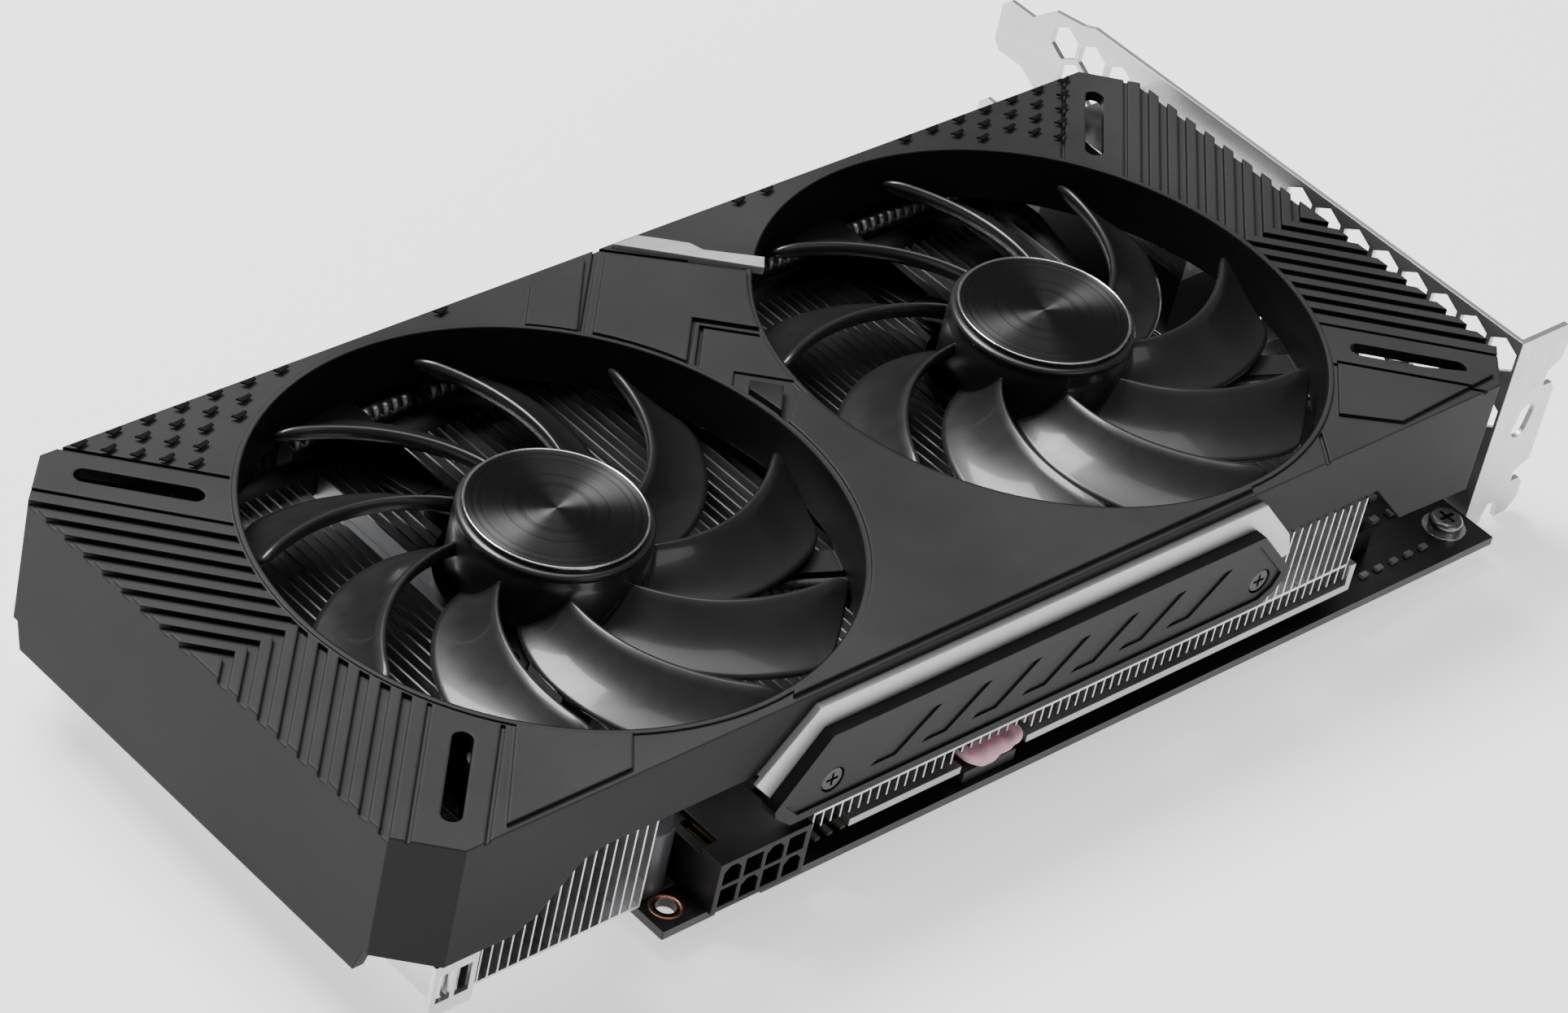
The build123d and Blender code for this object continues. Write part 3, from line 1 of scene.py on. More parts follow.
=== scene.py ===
import bpy
import bmesh
import json
import random
from math import cos, pi, radians, sin, sqrt
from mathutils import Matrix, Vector


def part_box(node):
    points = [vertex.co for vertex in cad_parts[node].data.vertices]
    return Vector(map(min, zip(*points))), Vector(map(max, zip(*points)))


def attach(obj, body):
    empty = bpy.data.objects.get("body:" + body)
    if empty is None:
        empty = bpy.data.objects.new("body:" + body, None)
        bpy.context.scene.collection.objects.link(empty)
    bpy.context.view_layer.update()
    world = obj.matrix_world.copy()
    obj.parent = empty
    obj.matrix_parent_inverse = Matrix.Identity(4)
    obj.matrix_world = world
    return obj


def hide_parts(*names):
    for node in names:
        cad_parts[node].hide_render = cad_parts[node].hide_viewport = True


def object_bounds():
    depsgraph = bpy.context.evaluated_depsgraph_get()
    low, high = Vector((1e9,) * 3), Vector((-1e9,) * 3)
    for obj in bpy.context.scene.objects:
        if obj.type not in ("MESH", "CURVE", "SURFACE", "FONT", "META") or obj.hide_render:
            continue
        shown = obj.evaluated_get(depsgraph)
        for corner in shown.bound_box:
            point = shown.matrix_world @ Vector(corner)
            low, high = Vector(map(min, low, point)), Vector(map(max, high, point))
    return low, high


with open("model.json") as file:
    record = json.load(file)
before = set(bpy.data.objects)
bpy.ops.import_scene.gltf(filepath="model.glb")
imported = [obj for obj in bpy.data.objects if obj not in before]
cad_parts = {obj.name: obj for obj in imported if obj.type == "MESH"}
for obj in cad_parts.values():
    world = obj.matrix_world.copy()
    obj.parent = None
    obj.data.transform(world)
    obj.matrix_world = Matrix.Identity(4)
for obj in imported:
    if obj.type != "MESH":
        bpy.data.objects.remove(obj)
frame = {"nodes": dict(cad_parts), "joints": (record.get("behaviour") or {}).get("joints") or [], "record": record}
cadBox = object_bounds()  # the CAD model's box, before anything is added
nodes = frame["nodes"]
mm = 0.001

# the card lies on its back, fans up, with its power socket side and its tail towards the camera

# camera

cameraSettings = {
    "place": (-0.5177, -0.43478, 0.52268),
    "turn": (52.08, -10.541, -42.191),  # degrees about X, Y, Z
    "lens": 124.87,
    "sensorWidth": 36.0,
    "nearest": 0.02,
    "furthest": 20.0,
}


def makeCamera():
    data = bpy.data.cameras.new("productCamera")
    data.lens = cameraSettings["lens"]
    data.sensor_width = cameraSettings["sensorWidth"]
    data.clip_start = cameraSettings["nearest"]
    data.clip_end = cameraSettings["furthest"]
    camera = bpy.data.objects.new("productCamera", data)
    camera.location = cameraSettings["place"]
    camera.rotation_euler = [radians(a) for a in cameraSettings["turn"]]
    bpy.context.collection.objects.link(camera)
    bpy.context.scene.camera = camera


makeCamera()
print("camera ready")

# places taken from the frame

fans = {}
for joint in frame["joints"]:
    fanName = joint["child"].replace("_fan", "")
    fans[fanName] = {"centre": Vector(joint["pos_m"]), "body": joint["child"]}
coverLow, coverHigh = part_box("fan_cover")
markDrop = 0.9 * mm  # from the cover's highest point down to its small marks
markZ = coverHigh.z - markDrop
centreY = (coverLow.y + coverHigh.y) / 2
middleX = (fans["tail"]["centre"].x + fans["bracket"]["centre"].x) / 2
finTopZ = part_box("fin_stack")[1].z
openingRadius = 46.0 * mm
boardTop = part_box("circuit_board")[1].z
turnedSteps = 128  # facets round a hub or a disc

# mesh helpers


def makeObject(name, verts, faces, smooth=True):
    mesh = bpy.data.meshes.new(name)
    mesh.from_pydata([tuple(v) for v in verts], [], faces)
    mesh.validate()
    mesh.update()
    for face in mesh.polygons:
        face.use_smooth = smooth
    thing = bpy.data.objects.new(name, mesh)
    bpy.context.collection.objects.link(thing)
    return thing


# faces between rings of points, each ring closed
def ringFaces(rings, count):
    faces = []
    for i in range(rings - 1):
        for k in range(count):
            n = (k + 1) % count
            faces.append((i * count + k, i * count + n, (i + 1) * count + n, (i + 1) * count + k))
    return faces


# verts and faces of a turned shape
def latheMesh(profile, steps, centre):
    verts = []
    for radius, z in profile:
        for k in range(steps):
            a = 2 * pi * k / steps
            verts.append((centre.x + radius * cos(a), centre.y + radius * sin(a), z))
    return verts, ringFaces(len(profile), steps)


# puts several (verts, faces) lists in one
def joinMeshes(parts):
    allVerts = []
    allFaces = []
    for verts, faces in parts:
        start = len(allVerts)
        allVerts += list(verts)
        allFaces += [tuple(start + i for i in face) for face in faces]
    return allVerts, allFaces


def fixNormals(thing):
    mesh = bmesh.new()
    mesh.from_mesh(thing.data)
    bmesh.ops.recalc_face_normals(mesh, faces=mesh.faces)
    mesh.to_mesh(thing.data)
    mesh.free()


# finishes


def startMaterial(name):
    material = bpy.data.materials.new(name)
    material.use_nodes = True
    tree = material.node_tree
    shader = tree.nodes["Principled BSDF"]
    return material, tree, shader


def objectPlace(tree, scale=(1, 1, 1)):
    coords = tree.nodes.new("ShaderNodeTexCoord")
    mapping = tree.nodes.new("ShaderNodeMapping")
    mapping.inputs["Scale"].default_value = scale
    tree.links.new(coords.outputs["Object"], mapping.inputs["Vector"])
    return mapping.outputs["Vector"]


def noiseOn(tree, place, scale, detail=3.0, roughness=0.55):
    noise = tree.nodes.new("ShaderNodeTexNoise")
    noise.inputs["Scale"].default_value = scale
    noise.inputs["Detail"].default_value = detail
    noise.inputs["Roughness"].default_value = roughness
    tree.links.new(place, noise.inputs["Vector"])
    return noise.outputs["Fac"]


def rampOn(tree, factor, stops):
    ramp = tree.nodes.new("ShaderNodeValToRGB")
    ramp.color_ramp.elements[0].position = stops[0][0]
    ramp.color_ramp.elements[0].color = (*stops[0][1], 1)
    ramp.color_ramp.elements[1].position = stops[-1][0]
    ramp.color_ramp.elements[1].color = (*stops[-1][1], 1)
    for position, color in stops[1:-1]:
        ramp.color_ramp.elements.new(position).color = (*color, 1)
    tree.links.new(factor, ramp.inputs["Fac"])
    return ramp.outputs["Color"]


def rangeOn(tree, factor, low, high):
    mapRange = tree.nodes.new("ShaderNodeMapRange")
    mapRange.inputs["From Min"].default_value = 0.3
    mapRange.inputs["From Max"].default_value = 0.7
    mapRange.inputs["To Min"].default_value = low
    mapRange.inputs["To Max"].default_value = high
    tree.links.new(factor, mapRange.inputs["Value"])
    return mapRange.outputs["Result"]


def colorOn(tree, shader, factor, stops):
    tree.links.new(rampOn(tree, factor, stops), shader.inputs["Base Color"])


def roughnessOn(tree, shader, factor, low, high):
    tree.links.new(rangeOn(tree, factor, low, high), shader.inputs["Roughness"])


def bumpOn(tree, shader, height, strength, distance, under=None):
    bump = tree.nodes.new("ShaderNodeBump")
    bump.inputs["Strength"].default_value = strength
    bump.inputs["Distance"].default_value = distance
    tree.links.new(height, bump.inputs["Height"])
    if under is not None:
        tree.links.new(under, bump.inputs["Normal"])
    tree.links.new(bump.outputs["Normal"], shader.inputs["Normal"])
    return bump.outputs["Normal"]


# soft corner that catches light on a sharp CAD edge
def roundedEdges(tree, radius):
    bevel = tree.nodes.new("ShaderNodeBevel")
    bevel.samples = 4
    bevel.inputs["Radius"].default_value = radius
    return bevel.outputs["Normal"]


grainLook = {
    "scale": 900,        # fine grain of the mould
    "strength": 0.35,
    "depth": 0.00004,
    "cloudScale": 18,    # slow change of tone over a moulding
}


# moulded plastic with a spark-eroded grain, slightly worn and uneven
def grainedPlastic(name, color, roughness, edge=0.0004, spread=0.25, specular=0.5):
    material, tree, shader = startMaterial(name)
    place = objectPlace(tree)
    cloud = noiseOn(tree, place, grainLook["cloudScale"], 4)
    dark = tuple(c * (1 - spread) for c in color)
    light = tuple(c * (1 + spread) for c in color)
    colorOn(tree, shader, cloud, [(0.35, dark), (0.65, light)])
    fine = noiseOn(tree, place, grainLook["scale"], 2)
    roughnessOn(tree, shader, cloud, roughness - 0.04, roughness + 0.05)
    shader.inputs["Specular IOR Level"].default_value = specular
    under = roundedEdges(tree, edge) if edge else None
    bumpOn(tree, shader, fine, grainLook["strength"], grainLook["depth"], under)
    return material


coverShade = {
    "panelStart": 0.2 * mm,   # over the small marks, where a facet counts as high
    "panelFull": 0.3 * mm,
    "farStart": 2 * mm,       # past the cover's middle line
    "farFull": 12 * mm,
    "rimStart": 0.25 * mm,    # outside the edge of an opening
    "rimFull": 0.15 * mm,
    "wallStart": 0.8,         # upward part of the normal, 1 on level faces; steeper faces get painted shade
    "wallFull": 0.3,
    "darkShare": 0.28,        # of the cover's colour, on the darker far facets and where shade is painted
    "plainSpecular": 0.3,
    "darkSpecular": 0.14,
}


# the cover's grained plastic, darker on its highest far facets, with painted shade on its walls and inside the
# openings
def coverGrainAndPaintedShade(name, color, roughness):
    s = coverShade
    material = grainedPlastic(name, color, roughness, edge=0.0005)
    tree = material.node_tree
    shader = tree.nodes["Principled BSDF"]
    plain = shader.inputs["Base Color"].links[0].from_socket
    coords = tree.nodes.new("ShaderNodeTexCoord")
    split = tree.nodes.new("ShaderNodeSeparateXYZ")
    tree.links.new(coords.outputs["Object"], split.inputs["Vector"])
    above = maskOn(tree, split.outputs["Z"], markZ + s["panelStart"], markZ + s["panelFull"])
    far = maskOn(tree, split.outputs["Y"], centreY + s["farStart"], centreY + s["farFull"])
    dark = mathOn(tree, "MULTIPLY", above, far)
    flat = tree.nodes.new("ShaderNodeCombineXYZ")
    tree.links.new(split.outputs["X"], flat.inputs["X"])
    tree.links.new(split.outputs["Y"], flat.inputs["Y"])
    # painted shade inside each fan opening, darker colour and less shine
    for fan in fans.values():
        away = tree.nodes.new("ShaderNodeVectorMath")
        away.operation = "DISTANCE"
        away.inputs[1].default_value = (fan["centre"].x, fan["centre"].y, 0)
        tree.links.new(flat.outputs["Vector"], away.inputs[0])
        inside = maskOn(tree, away.outputs["Value"],
                        openingRadius + s["rimStart"], openingRadius + s["rimFull"])
        dark = mathOn(tree, "MAXIMUM", dark, inside)
    # painted shade: the walls are made darker in colour and shine
    facing = tree.nodes.new("ShaderNodeNewGeometry")
    normal = tree.nodes.new("ShaderNodeSeparateXYZ")
    tree.links.new(facing.outputs["True Normal"], normal.inputs["Vector"])
    wall = maskOn(tree, normal.outputs["Z"], s["wallStart"], s["wallFull"])
    dark = mathOn(tree, "MAXIMUM", dark, wall)
    # a mix node repeats its socket names, so its colour sockets go by number
    mix = tree.nodes.new("ShaderNodeMix")
    mix.data_type = "RGBA"
    tree.links.new(dark, mix.inputs["Factor"])
    tree.links.new(plain, mix.inputs[6])
    mix.inputs[7].default_value = (*[c * s["darkShare"] for c in color], 1)
    tree.links.new(mix.outputs[2], shader.inputs["Base Color"])
    shine = tree.nodes.new("ShaderNodeMapRange")
    shine.inputs["To Min"].default_value = s["plainSpecular"]
    shine.inputs["To Max"].default_value = s["darkSpecular"]
    tree.links.new(dark, shine.inputs["Value"])
    tree.links.new(shine.outputs["Result"], shader.inputs["Specular IOR Level"])
    return material


def mathOn(tree, operation, first, second):
    node = tree.nodes.new("ShaderNodeMath")
    node.operation = operation
    tree.links.new(first, node.inputs[0])
    tree.links.new(second, node.inputs[1])
    return node.outputs["Value"]


# 0 below low, 1 above high
def maskOn(tree, value, low, high):
    mapRange = tree.nodes.new("ShaderNodeMapRange")
    mapRange.inputs["From Min"].default_value = low
    mapRange.inputs["From Max"].default_value = high
    tree.links.new(value, mapRange.inputs["Value"])
    return mapRange.outputs["Result"]


# glossy moulded plastic with faint flow marks
def polishedPlastic(name, color, roughness, edge=0.0002, coat=0.3):
    material, tree, shader = startMaterial(name)
    place = objectPlace(tree)
    flow = noiseOn(tree, place, 35, 3)
    dark = tuple(c * 0.85 for c in color)
    light = tuple(c * 1.2 for c in color)
    colorOn(tree, shader, flow, [(0.35, dark), (0.65, light)])
    roughnessOn(tree, shader, noiseOn(tree, place, 260, 3), roughness - 0.03, roughness + 0.04)
    shader.inputs["Coat Weight"].default_value = coat
    shader.inputs["Coat Roughness"].default_value = 0.08
    bumpOn(tree, shader, flow, 0.12, 0.0002, roundedEdges(tree, edge) if edge else None)
    return material


# sheet metal with rolling or brushing lines; along squeezes the lines along one axis
def rolledMetal(name, color, roughness, along=(1, 1, 1), streak=300, edge=0.0, metallic=1.0, spread=0.12):
    material, tree, shader = startMaterial(name)
    place = objectPlace(tree, along)
    lines = noiseOn(tree, place, streak, 3)
    cloud = noiseOn(tree, objectPlace(tree), 25, 3)
    dark = tuple(c * (1 - spread) for c in color)
    light = tuple(min(1, c * (1 + spread)) for c in color)
    colorOn(tree, shader, cloud, [(0.35, dark), (0.65, light)])
    roughnessOn(tree, shader, lines, roughness - 0.06, roughness + 0.08)
    shader.inputs["Metallic"].default_value = metallic
    bumpOn(tree, shader, lines, 0.15, 0.00003, roundedEdges(tree, edge) if edge else None)
    return material


# turned disc: fine rings, and the fan-shaped gleam that they give
def spunMetal(name, color, roughness):
    material, tree, shader = startMaterial(name)
    tangent = tree.nodes.new("ShaderNodeTangent")
    tangent.direction_type = "RADIAL"
    tangent.axis = "Z"
    tree.links.new(tangent.outputs["Tangent"], shader.inputs["Tangent"])
    shader.inputs["Anisotropic"].default_value = 0.9
    shader.inputs["Anisotropic Rotation"].default_value = 0.25
    shader.inputs["Metallic"].default_value = 1.0
    coords = tree.nodes.new("ShaderNodeTexCoord")
    length = tree.nodes.new("ShaderNodeVectorMath")
    length.operation = "LENGTH"
    tree.links.new(coords.outputs["Object"], length.inputs[0])
    rings = tree.nodes.new("ShaderNodeTexNoise")
    rings.noise_dimensions = "1D"
    rings.inputs["Scale"].default_value = 6000
    rings.inputs["Detail"].default_value = 2
    tree.links.new(length.outputs["Value"], rings.inputs["W"])
    dark = tuple(c * 0.9 for c in color)
    colorOn(tree, shader, rings.outputs["Fac"], [(0.3, dark), (0.7, color)])
    roughnessOn(tree, shader, rings.outputs["Fac"], roughness - 0.03, roughness + 0.03)
    bumpOn(tree, shader, rings.outputs["Fac"], 0.05, 0.00001)
    return material


# varnished board with buried copper tracks
def solderMask(name, color):
    material, tree, shader = startMaterial(name)
    place = objectPlace(tree)
    tracks = tree.nodes.new("ShaderNodeTexBrick")
    tracks.inputs["Scale"].default_value = 260
    tracks.inputs["Mortar Size"].default_value = 0.03
    tracks.inputs["Mortar Smooth"].default_value = 0.2
    tracks.inputs["Brick Width"].default_value = 1.6
    tracks.inputs["Row Height"].default_value = 0.35
    tracks.inputs["Color1"].default_value = (*color, 1)
    tracks.inputs["Color2"].default_value = (*[c * 1.15 for c in color], 1)
    tracks.inputs["Mortar"].default_value = (*[c * 1.9 for c in color], 1)
    tree.links.new(place, tracks.inputs["Vector"])
    tree.links.new(tracks.outputs["Color"], shader.inputs["Base Color"])
    roughnessOn(tree, shader, noiseOn(tree, place, 120, 3), 0.28, 0.42)
    bumpOn(tree, shader, tracks.outputs["Fac"], 0.2, 0.00004)
    return material


# putty-like pad with a crinkled skin
def softPad(name, color):
    material, tree, shader = startMaterial(name)
    place = objectPlace(tree)
    crinkle = noiseOn(tree, place, 420, 5, 0.65)
    dark = tuple(c * 0.8 for c in color)
    colorOn(tree, shader, crinkle, [(0.3, dark), (0.7, color)])
    roughnessOn(tree, shader, crinkle, 0.5, 0.75)
    shader.inputs["Subsurface Weight"].default_value = 0.08
    shader.inputs["Subsurface Radius"].default_value = (0.002, 0.001, 0.001)
    bumpOn(tree, shader, crinkle, 0.5, 0.0003)
    return material


# braided sleeve on a fan lead
def wovenSleeve(name, color):
    material, tree, shader = startMaterial(name)
    place = objectPlace(tree)
    weave = tree.nodes.new("ShaderNodeTexVoronoi")
    weave.inputs["Scale"].default_value = 1800
    tree.links.new(place, weave.inputs["Vector"])
    dark = tuple(c * 0.4 for c in color)
    colorOn(tree, shader, weave.outputs["Distance"], [(0.1, color), (0.7, dark)])
    roughnessOn(tree, shader, weave.outputs["Distance"], 0.45, 0.7)
    bumpOn(tree, shader, weave.outputs["Distance"], 0.4, 0.0001)
    return material


finishes = {
    "coverPlastic": coverGrainAndPaintedShade("coverPlastic", (0.026, 0.026, 0.0265), 0.46),
    # the marks' near-black colour is painted shade, standing for the shade inside engraved marks
    "markPlastic": grainedPlastic("markPlastic", (0.004, 0.004, 0.004), 0.7, edge=0.0, specular=0.1),
    "framePlastic": grainedPlastic("framePlastic", (0.006, 0.006, 0.0065), 0.42, edge=0.0003),
    "bladePlastic": polishedPlastic("bladePlastic", (0.014, 0.014, 0.0145), 0.33, coat=0.3),
    "platePlastic": grainedPlastic("platePlastic", (0.0065, 0.0065, 0.007), 0.42, edge=0.0003,
                                   specular=0.2),
    "headerPlastic": grainedPlastic("headerPlastic", (0.006, 0.006, 0.0065), 0.4, edge=0.0003,
                                    specular=0.25),
    "chipBody": grainedPlastic("chipBody", (0.03, 0.03, 0.032), 0.5, edge=0.0001),
    "chokeBody": grainedPlastic("chokeBody", (0.13, 0.13, 0.135), 0.55, edge=0.0003),
    "canBody": polishedPlastic("canBody", (0.05, 0.05, 0.055), 0.32, coat=0.1),
    "smallCeramic": grainedPlastic("smallCeramic", (0.2, 0.19, 0.17), 0.5, spread=0.4, edge=0.0),
    "boardGreen": solderMask("boardGreen", (0.02, 0.075, 0.035)),
    "boardBlack": solderMask("boardBlack", (0.004, 0.0045, 0.005)),
    "finSheet": rolledMetal("finSheet", (0.78, 0.78, 0.79), 0.3, along=(1, 0.1, 1), streak=500),
    "curlSheet": rolledMetal("curlSheet", (0.4, 0.4, 0.41), 0.42, along=(1, 0.1, 1), streak=500),
    "endSheet": rolledMetal("endSheet", (0.8, 0.8, 0.81), 0.3, along=(1, 0.1, 1), streak=400, edge=0.0002),
    "pipePlate": rolledMetal("pipePlate", (0.05, 0.05, 0.052), 0.5, along=(0.05, 1, 1), streak=300),
    "copperMilled": rolledMetal("copperMilled", (0.72, 0.36, 0.22), 0.28, along=(0.1, 1, 1)),
    "paleSheet": rolledMetal("paleSheet", (0.52, 0.52, 0.52), 0.42, along=(0.1, 1, 1), edge=0.0002),
    "goldPlate": rolledMetal("goldPlate", (0.8, 0.58, 0.25), 0.25),
    "brightSteel": rolledMetal("brightSteel", (0.7, 0.7, 0.71), 0.26, edge=0.0002),
    "darkSteel": rolledMetal("darkSteel", (0.22, 0.22, 0.225), 0.3, edge=0.0002),
    "blackSteel": rolledMetal("blackSteel", (0.06, 0.06, 0.065), 0.35, edge=0.0001),
    "groundSteel": rolledMetal("groundSteel", (0.6, 0.6, 0.61), 0.2, along=(1, 1, 0.1)),
    "bushBronze": rolledMetal("bushBronze", (0.45, 0.3, 0.17), 0.4),
    "coreSteel": rolledMetal("coreSteel", (0.35, 0.25, 0.17), 0.4, along=(0.1, 0.1, 3)),
    "magnetBlack": grainedPlastic("magnetBlack", (0.03, 0.03, 0.03), 0.6),
    "socketSteel": rolledMetal("socketSteel", (0.7, 0.7, 0.7), 0.22, along=(1, 0.1, 1), edge=0.0002),
    "bracketSteel": rolledMetal("bracketSteel", (0.58, 0.58, 0.58), 0.42, along=(1, 0.08, 1), streak=350,
                                edge=0.0002, spread=0.05),
    "silverPaint": rolledMetal("silverPaint", (0.6, 0.6, 0.6), 0.42, along=(0.1, 1, 1), edge=0.0004,
                               metallic=0.6, spread=0.06),
    "discMetal": spunMetal("discMetal", (0.075, 0.075, 0.077), 0.3),
    "rimMetal": rolledMetal("rimMetal", (0.75, 0.75, 0.76), 0.18),
    "dieMirror": rolledMetal("dieMirror", (0.3, 0.31, 0.34), 0.08),
    "pinkPad": softPad("pinkPad", (0.8, 0.46, 0.53)),
    "leadSleeve": wovenSleeve("leadSleeve", (0.035, 0.035, 0.037)),
}

nodeFinishes = {
    "fan_cover": "coverPlastic", "accent_strip": "silverPaint", "side_plate": "platePlastic",
    "side_plate_screws": "blackSteel", "side_trim": "silverPaint", "fan_arms": "framePlastic",
    "fan_screws": "blackSteel", "fan_plug": "headerPlastic", "fan_socket": "headerPlastic",
    "fin_stack": "finSheet", "power_fin_stack": "finSheet", "tail_fin_stack": "finSheet",
    "fin_end_plate": "endSheet", "heat_pipes": "pipePlate",
    "cold_plate": "copperMilled", "base_plate": "paleSheet",
    "thermal_pads": "pinkPad", "edge_pad": "pinkPad",
    "circuit_board": "boardBlack", "edge_contacts": "goldPlate",
    "gpu_package": "boardGreen", "gpu_die": "dieMirror", "memory_chips": "chipBody",
    "power_chokes": "chokeBody", "power_stages": "chipBody", "capacitors": "canBody",
    "small_parts": "smallCeramic", "control_chips": "chipBody", "power_header": "headerPlastic",
    "header_pins": "goldPlate", "socket_shells": "socketSteel", "socket_tongues": "headerPlastic",
    "bracket": "bracketSteel", "bracket_screws": "brightSteel", "bracket_lugs": "brightSteel",
    "corner_screw": "darkSteel", "corner_washer": "brightSteel", "spring_screws": "brightSteel",
    "screw_springs": "groundSteel", "plate_posts": "brightSteel", "post_screws": "brightSteel",
}
fanFinishes = {
    "rotor": "bladePlastic", "hub_disc": "discMetal",
    "rotor_magnet": "magnetBlack", "fan_shaft": "groundSteel",
    "fan_bush": "bushBronze", "motor_base": "framePlastic", "stator": "coreSteel", "fan_board": "boardGreen",
    "fan_lead": "leadSleeve",
}


def dressNode(name, finish):
    thing = nodes[name]
    thing.data.materials.clear()
    thing.data.materials.append(finishes[finish])


def dressFrame():
    for name, finish in nodeFinishes.items():
        dressNode(name, finish)
    for fanName in fans:
        for name, finish in fanFinishes.items():
            dressNode(fanName + "_" + name, finish)


dressFrame()
print("frame dressed")


# gives a new piece its finish and fixes it to its body
def place(thing, finish, body, slotName):
    thing.data.materials.clear()
    thing.data.materials.append(finishes[finish])
    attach(thing, body)
    return thing


# fan rotors

rotorShape = {
    "hubRadius": 15.0 * mm,
    "tipRadius": 44.2 * mm,
    "blades": 9,
    "sweep": 37.0,       # degrees that the tip leads the root
    "sweepFrom": 1.5 * mm,       # outside the hub, where the sweep starts
    "lagRoot": 27.0,     # degrees between a blade's two edges
    "lagTip": 21.0,
    "camber": 0.9 * mm,
    "rootInset": 0.7 * mm,       # how deep a blade starts in the hub
    "edgeThickness": 3.0 * mm,   # rounded high edge, on top of the low edge's thickness
    "tailThickness": 0.5 * mm,   # thin low edge
    "thinning": 2.4,             # how fast a blade thins from its high edge
    "noseShare": 0.08,           # share of the width that rounds the high edge
    "noseThin": 0.25,            # thickness at the very edge, as a share
    "tipRound": 3.2 * mm,        # rounded corners at the tip
    "tipPull": 0.13,             # how far the corners draw in, as a share of the width
    "tipThin": 0.5,
    "bladeLow": 0.95 * mm,       # over the rotor's low end
    "bladeHigh": 6.85 * mm,
    "turn": {"tail": 3.0, "bracket": 6.0},
    "stationsOut": 26,
    "crowding": 1.35,            # closer stations at the tip
    "stationsAcross": 12,
}


# a point on the middle surface of a blade, with share 0 at its high edge
def bladeSpine(r, share, low, high):
    s = rotorShape
    root = s["hubRadius"] + s["sweepFrom"]
    along = (r - root) / (s["tipRadius"] - root)
    angle = radians(s["sweep"] * along - (s["lagRoot"] + (s["lagTip"] - s["lagRoot"]) * along) * share)
    fall = high - low
    z = high - fall * share - s["camber"] * sin(pi * share)
    return angle, z


def bladeThickness(share):
    s = rotorShape
    body = s["edgeThickness"] * (1 - share) ** s["thinning"] + s["tailThickness"]
    nose = min(1.0, sqrt(max(0.0, share) / s["noseShare"]))
    return body * (s["noseThin"] + (1 - s["noseThin"]) * nose)


def bladeMesh(low, high, centre, turn):
    s = rotorShape
    start = s["hubRadius"] - s["rootInset"]
    nose = s["noseShare"]
    last = s["stationsAcross"] - 1
    across = [0.0, 0.03, nose] + [nose + (1 - nose) * k / last for k in range(1, last + 1)]
    ring = across + across[::-1]
    verts = []
    for i in range(s["stationsOut"]):
        out = i / (s["stationsOut"] - 1)
        r = start + (s["tipRadius"] - start) * (1 - (1 - out) ** s["crowding"])
        intoRound = max(0.0, (r - (s["tipRadius"] - s["tipRound"])) / s["tipRound"])
        pull = s["tipPull"] * (1 - sqrt(max(0.0, 1 - intoRound ** 2)))
        for k, share in enumerate(ring):
            share = pull + share * (1 - 2 * pull)
            angle, z = bladeSpine(r, share, low, high)
            up = 1 if k < len(across) else -1
            thickness = bladeThickness((share - pull) / (1 - 2 * pull))
            z += up * thickness / 2 * (1 - s["tipThin"] * intoRound ** 2)
            a = angle + radians(turn)
            verts.append((centre.x + r * cos(a), centre.y + r * sin(a), z))
    count = len(ring)
    faces = ringFaces(s["stationsOut"], count)
    for i in (0, s["stationsOut"] - 1):
        for k in range(len(across) - 1):
            face = (i * count + k, i * count + k + 1, i * count + count - 2 - k, i * count + count - 1 - k)
            faces.append(face)
    return verts, faces


hubShape = {
    "skirt": 0.7 * mm,       # over the rotor's low end
    "wall": 1.7 * mm,
    "lowChamfer": 0.25 * mm,
    "roofUnder": 1.5 * mm,   # below the top, where the hollow ends
    "shoulder": 3.4 * mm,    # below the top, where the side starts to draw in
    "shoulderMiddle": 2.4 * mm,
    "grooveLow": 1.5 * mm,   # line round the hub, below the top
    "grooveHigh": 1.2 * mm,
    "grooveDepth": 0.35 * mm,
    "lipLow": 0.9 * mm,
    "lipHigh": 0.45 * mm,
    "lipDepth": 0.15 * mm,
    "topChamfer": 0.1 * mm,
    "flatFrom": 0.9 * mm,    # in from the side
    "flatTo": 3.0 * mm,
}


def hubProfile(low, high):
    s = hubShape
    r = rotorShape["hubRadius"]
    inner = r - s["wall"]
    return [
        (inner, high - s["roofUnder"]),
        (inner, low),
        (inner + 0.3 * mm, low),
        (r - s["lowChamfer"], low),
        (r, low + s["lowChamfer"]),
        (r, high - s["shoulder"]),
        (r - 0.1 * mm, high - s["shoulderMiddle"]),
        (r - s["grooveDepth"], high - s["grooveLow"]),
        (r - s["grooveDepth"], high - s["grooveHigh"]),
        (r - s["lipDepth"], high - s["lipLow"]),
        (r - s["lipDepth"], high - s["lipHigh"]),
        (r - 0.45 * mm, high - s["topChamfer"]),
        (r - s["flatFrom"], high),
        (r - s["flatTo"], high),
        (0.5 * mm, high - 0.02 * mm),
    ]


def makeRotor(fanName):
    s = rotorShape
    centre = fans[fanName]["centre"]
    low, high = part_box(fanName + "_rotor")
    bladeLow = low.z + s["bladeLow"]
    bladeHigh = low.z + s["bladeHigh"]
    parts = [latheMesh(hubProfile(low.z + hubShape["skirt"], high.z), turnedSteps, centre)]
    for k in range(s["blades"]):
        turn = s["turn"][fanName] + k * 360 / s["blades"]
        parts.append(bladeMesh(bladeLow, bladeHigh, centre, turn))
    verts, faces = joinMeshes(parts)
    rotor = makeObject(fanName + "Blades", verts, faces)
    fixNormals(rotor)
    place(rotor, "bladePlastic", fans[fanName]["body"], "fan_plastic")
    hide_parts(fanName + "_rotor")


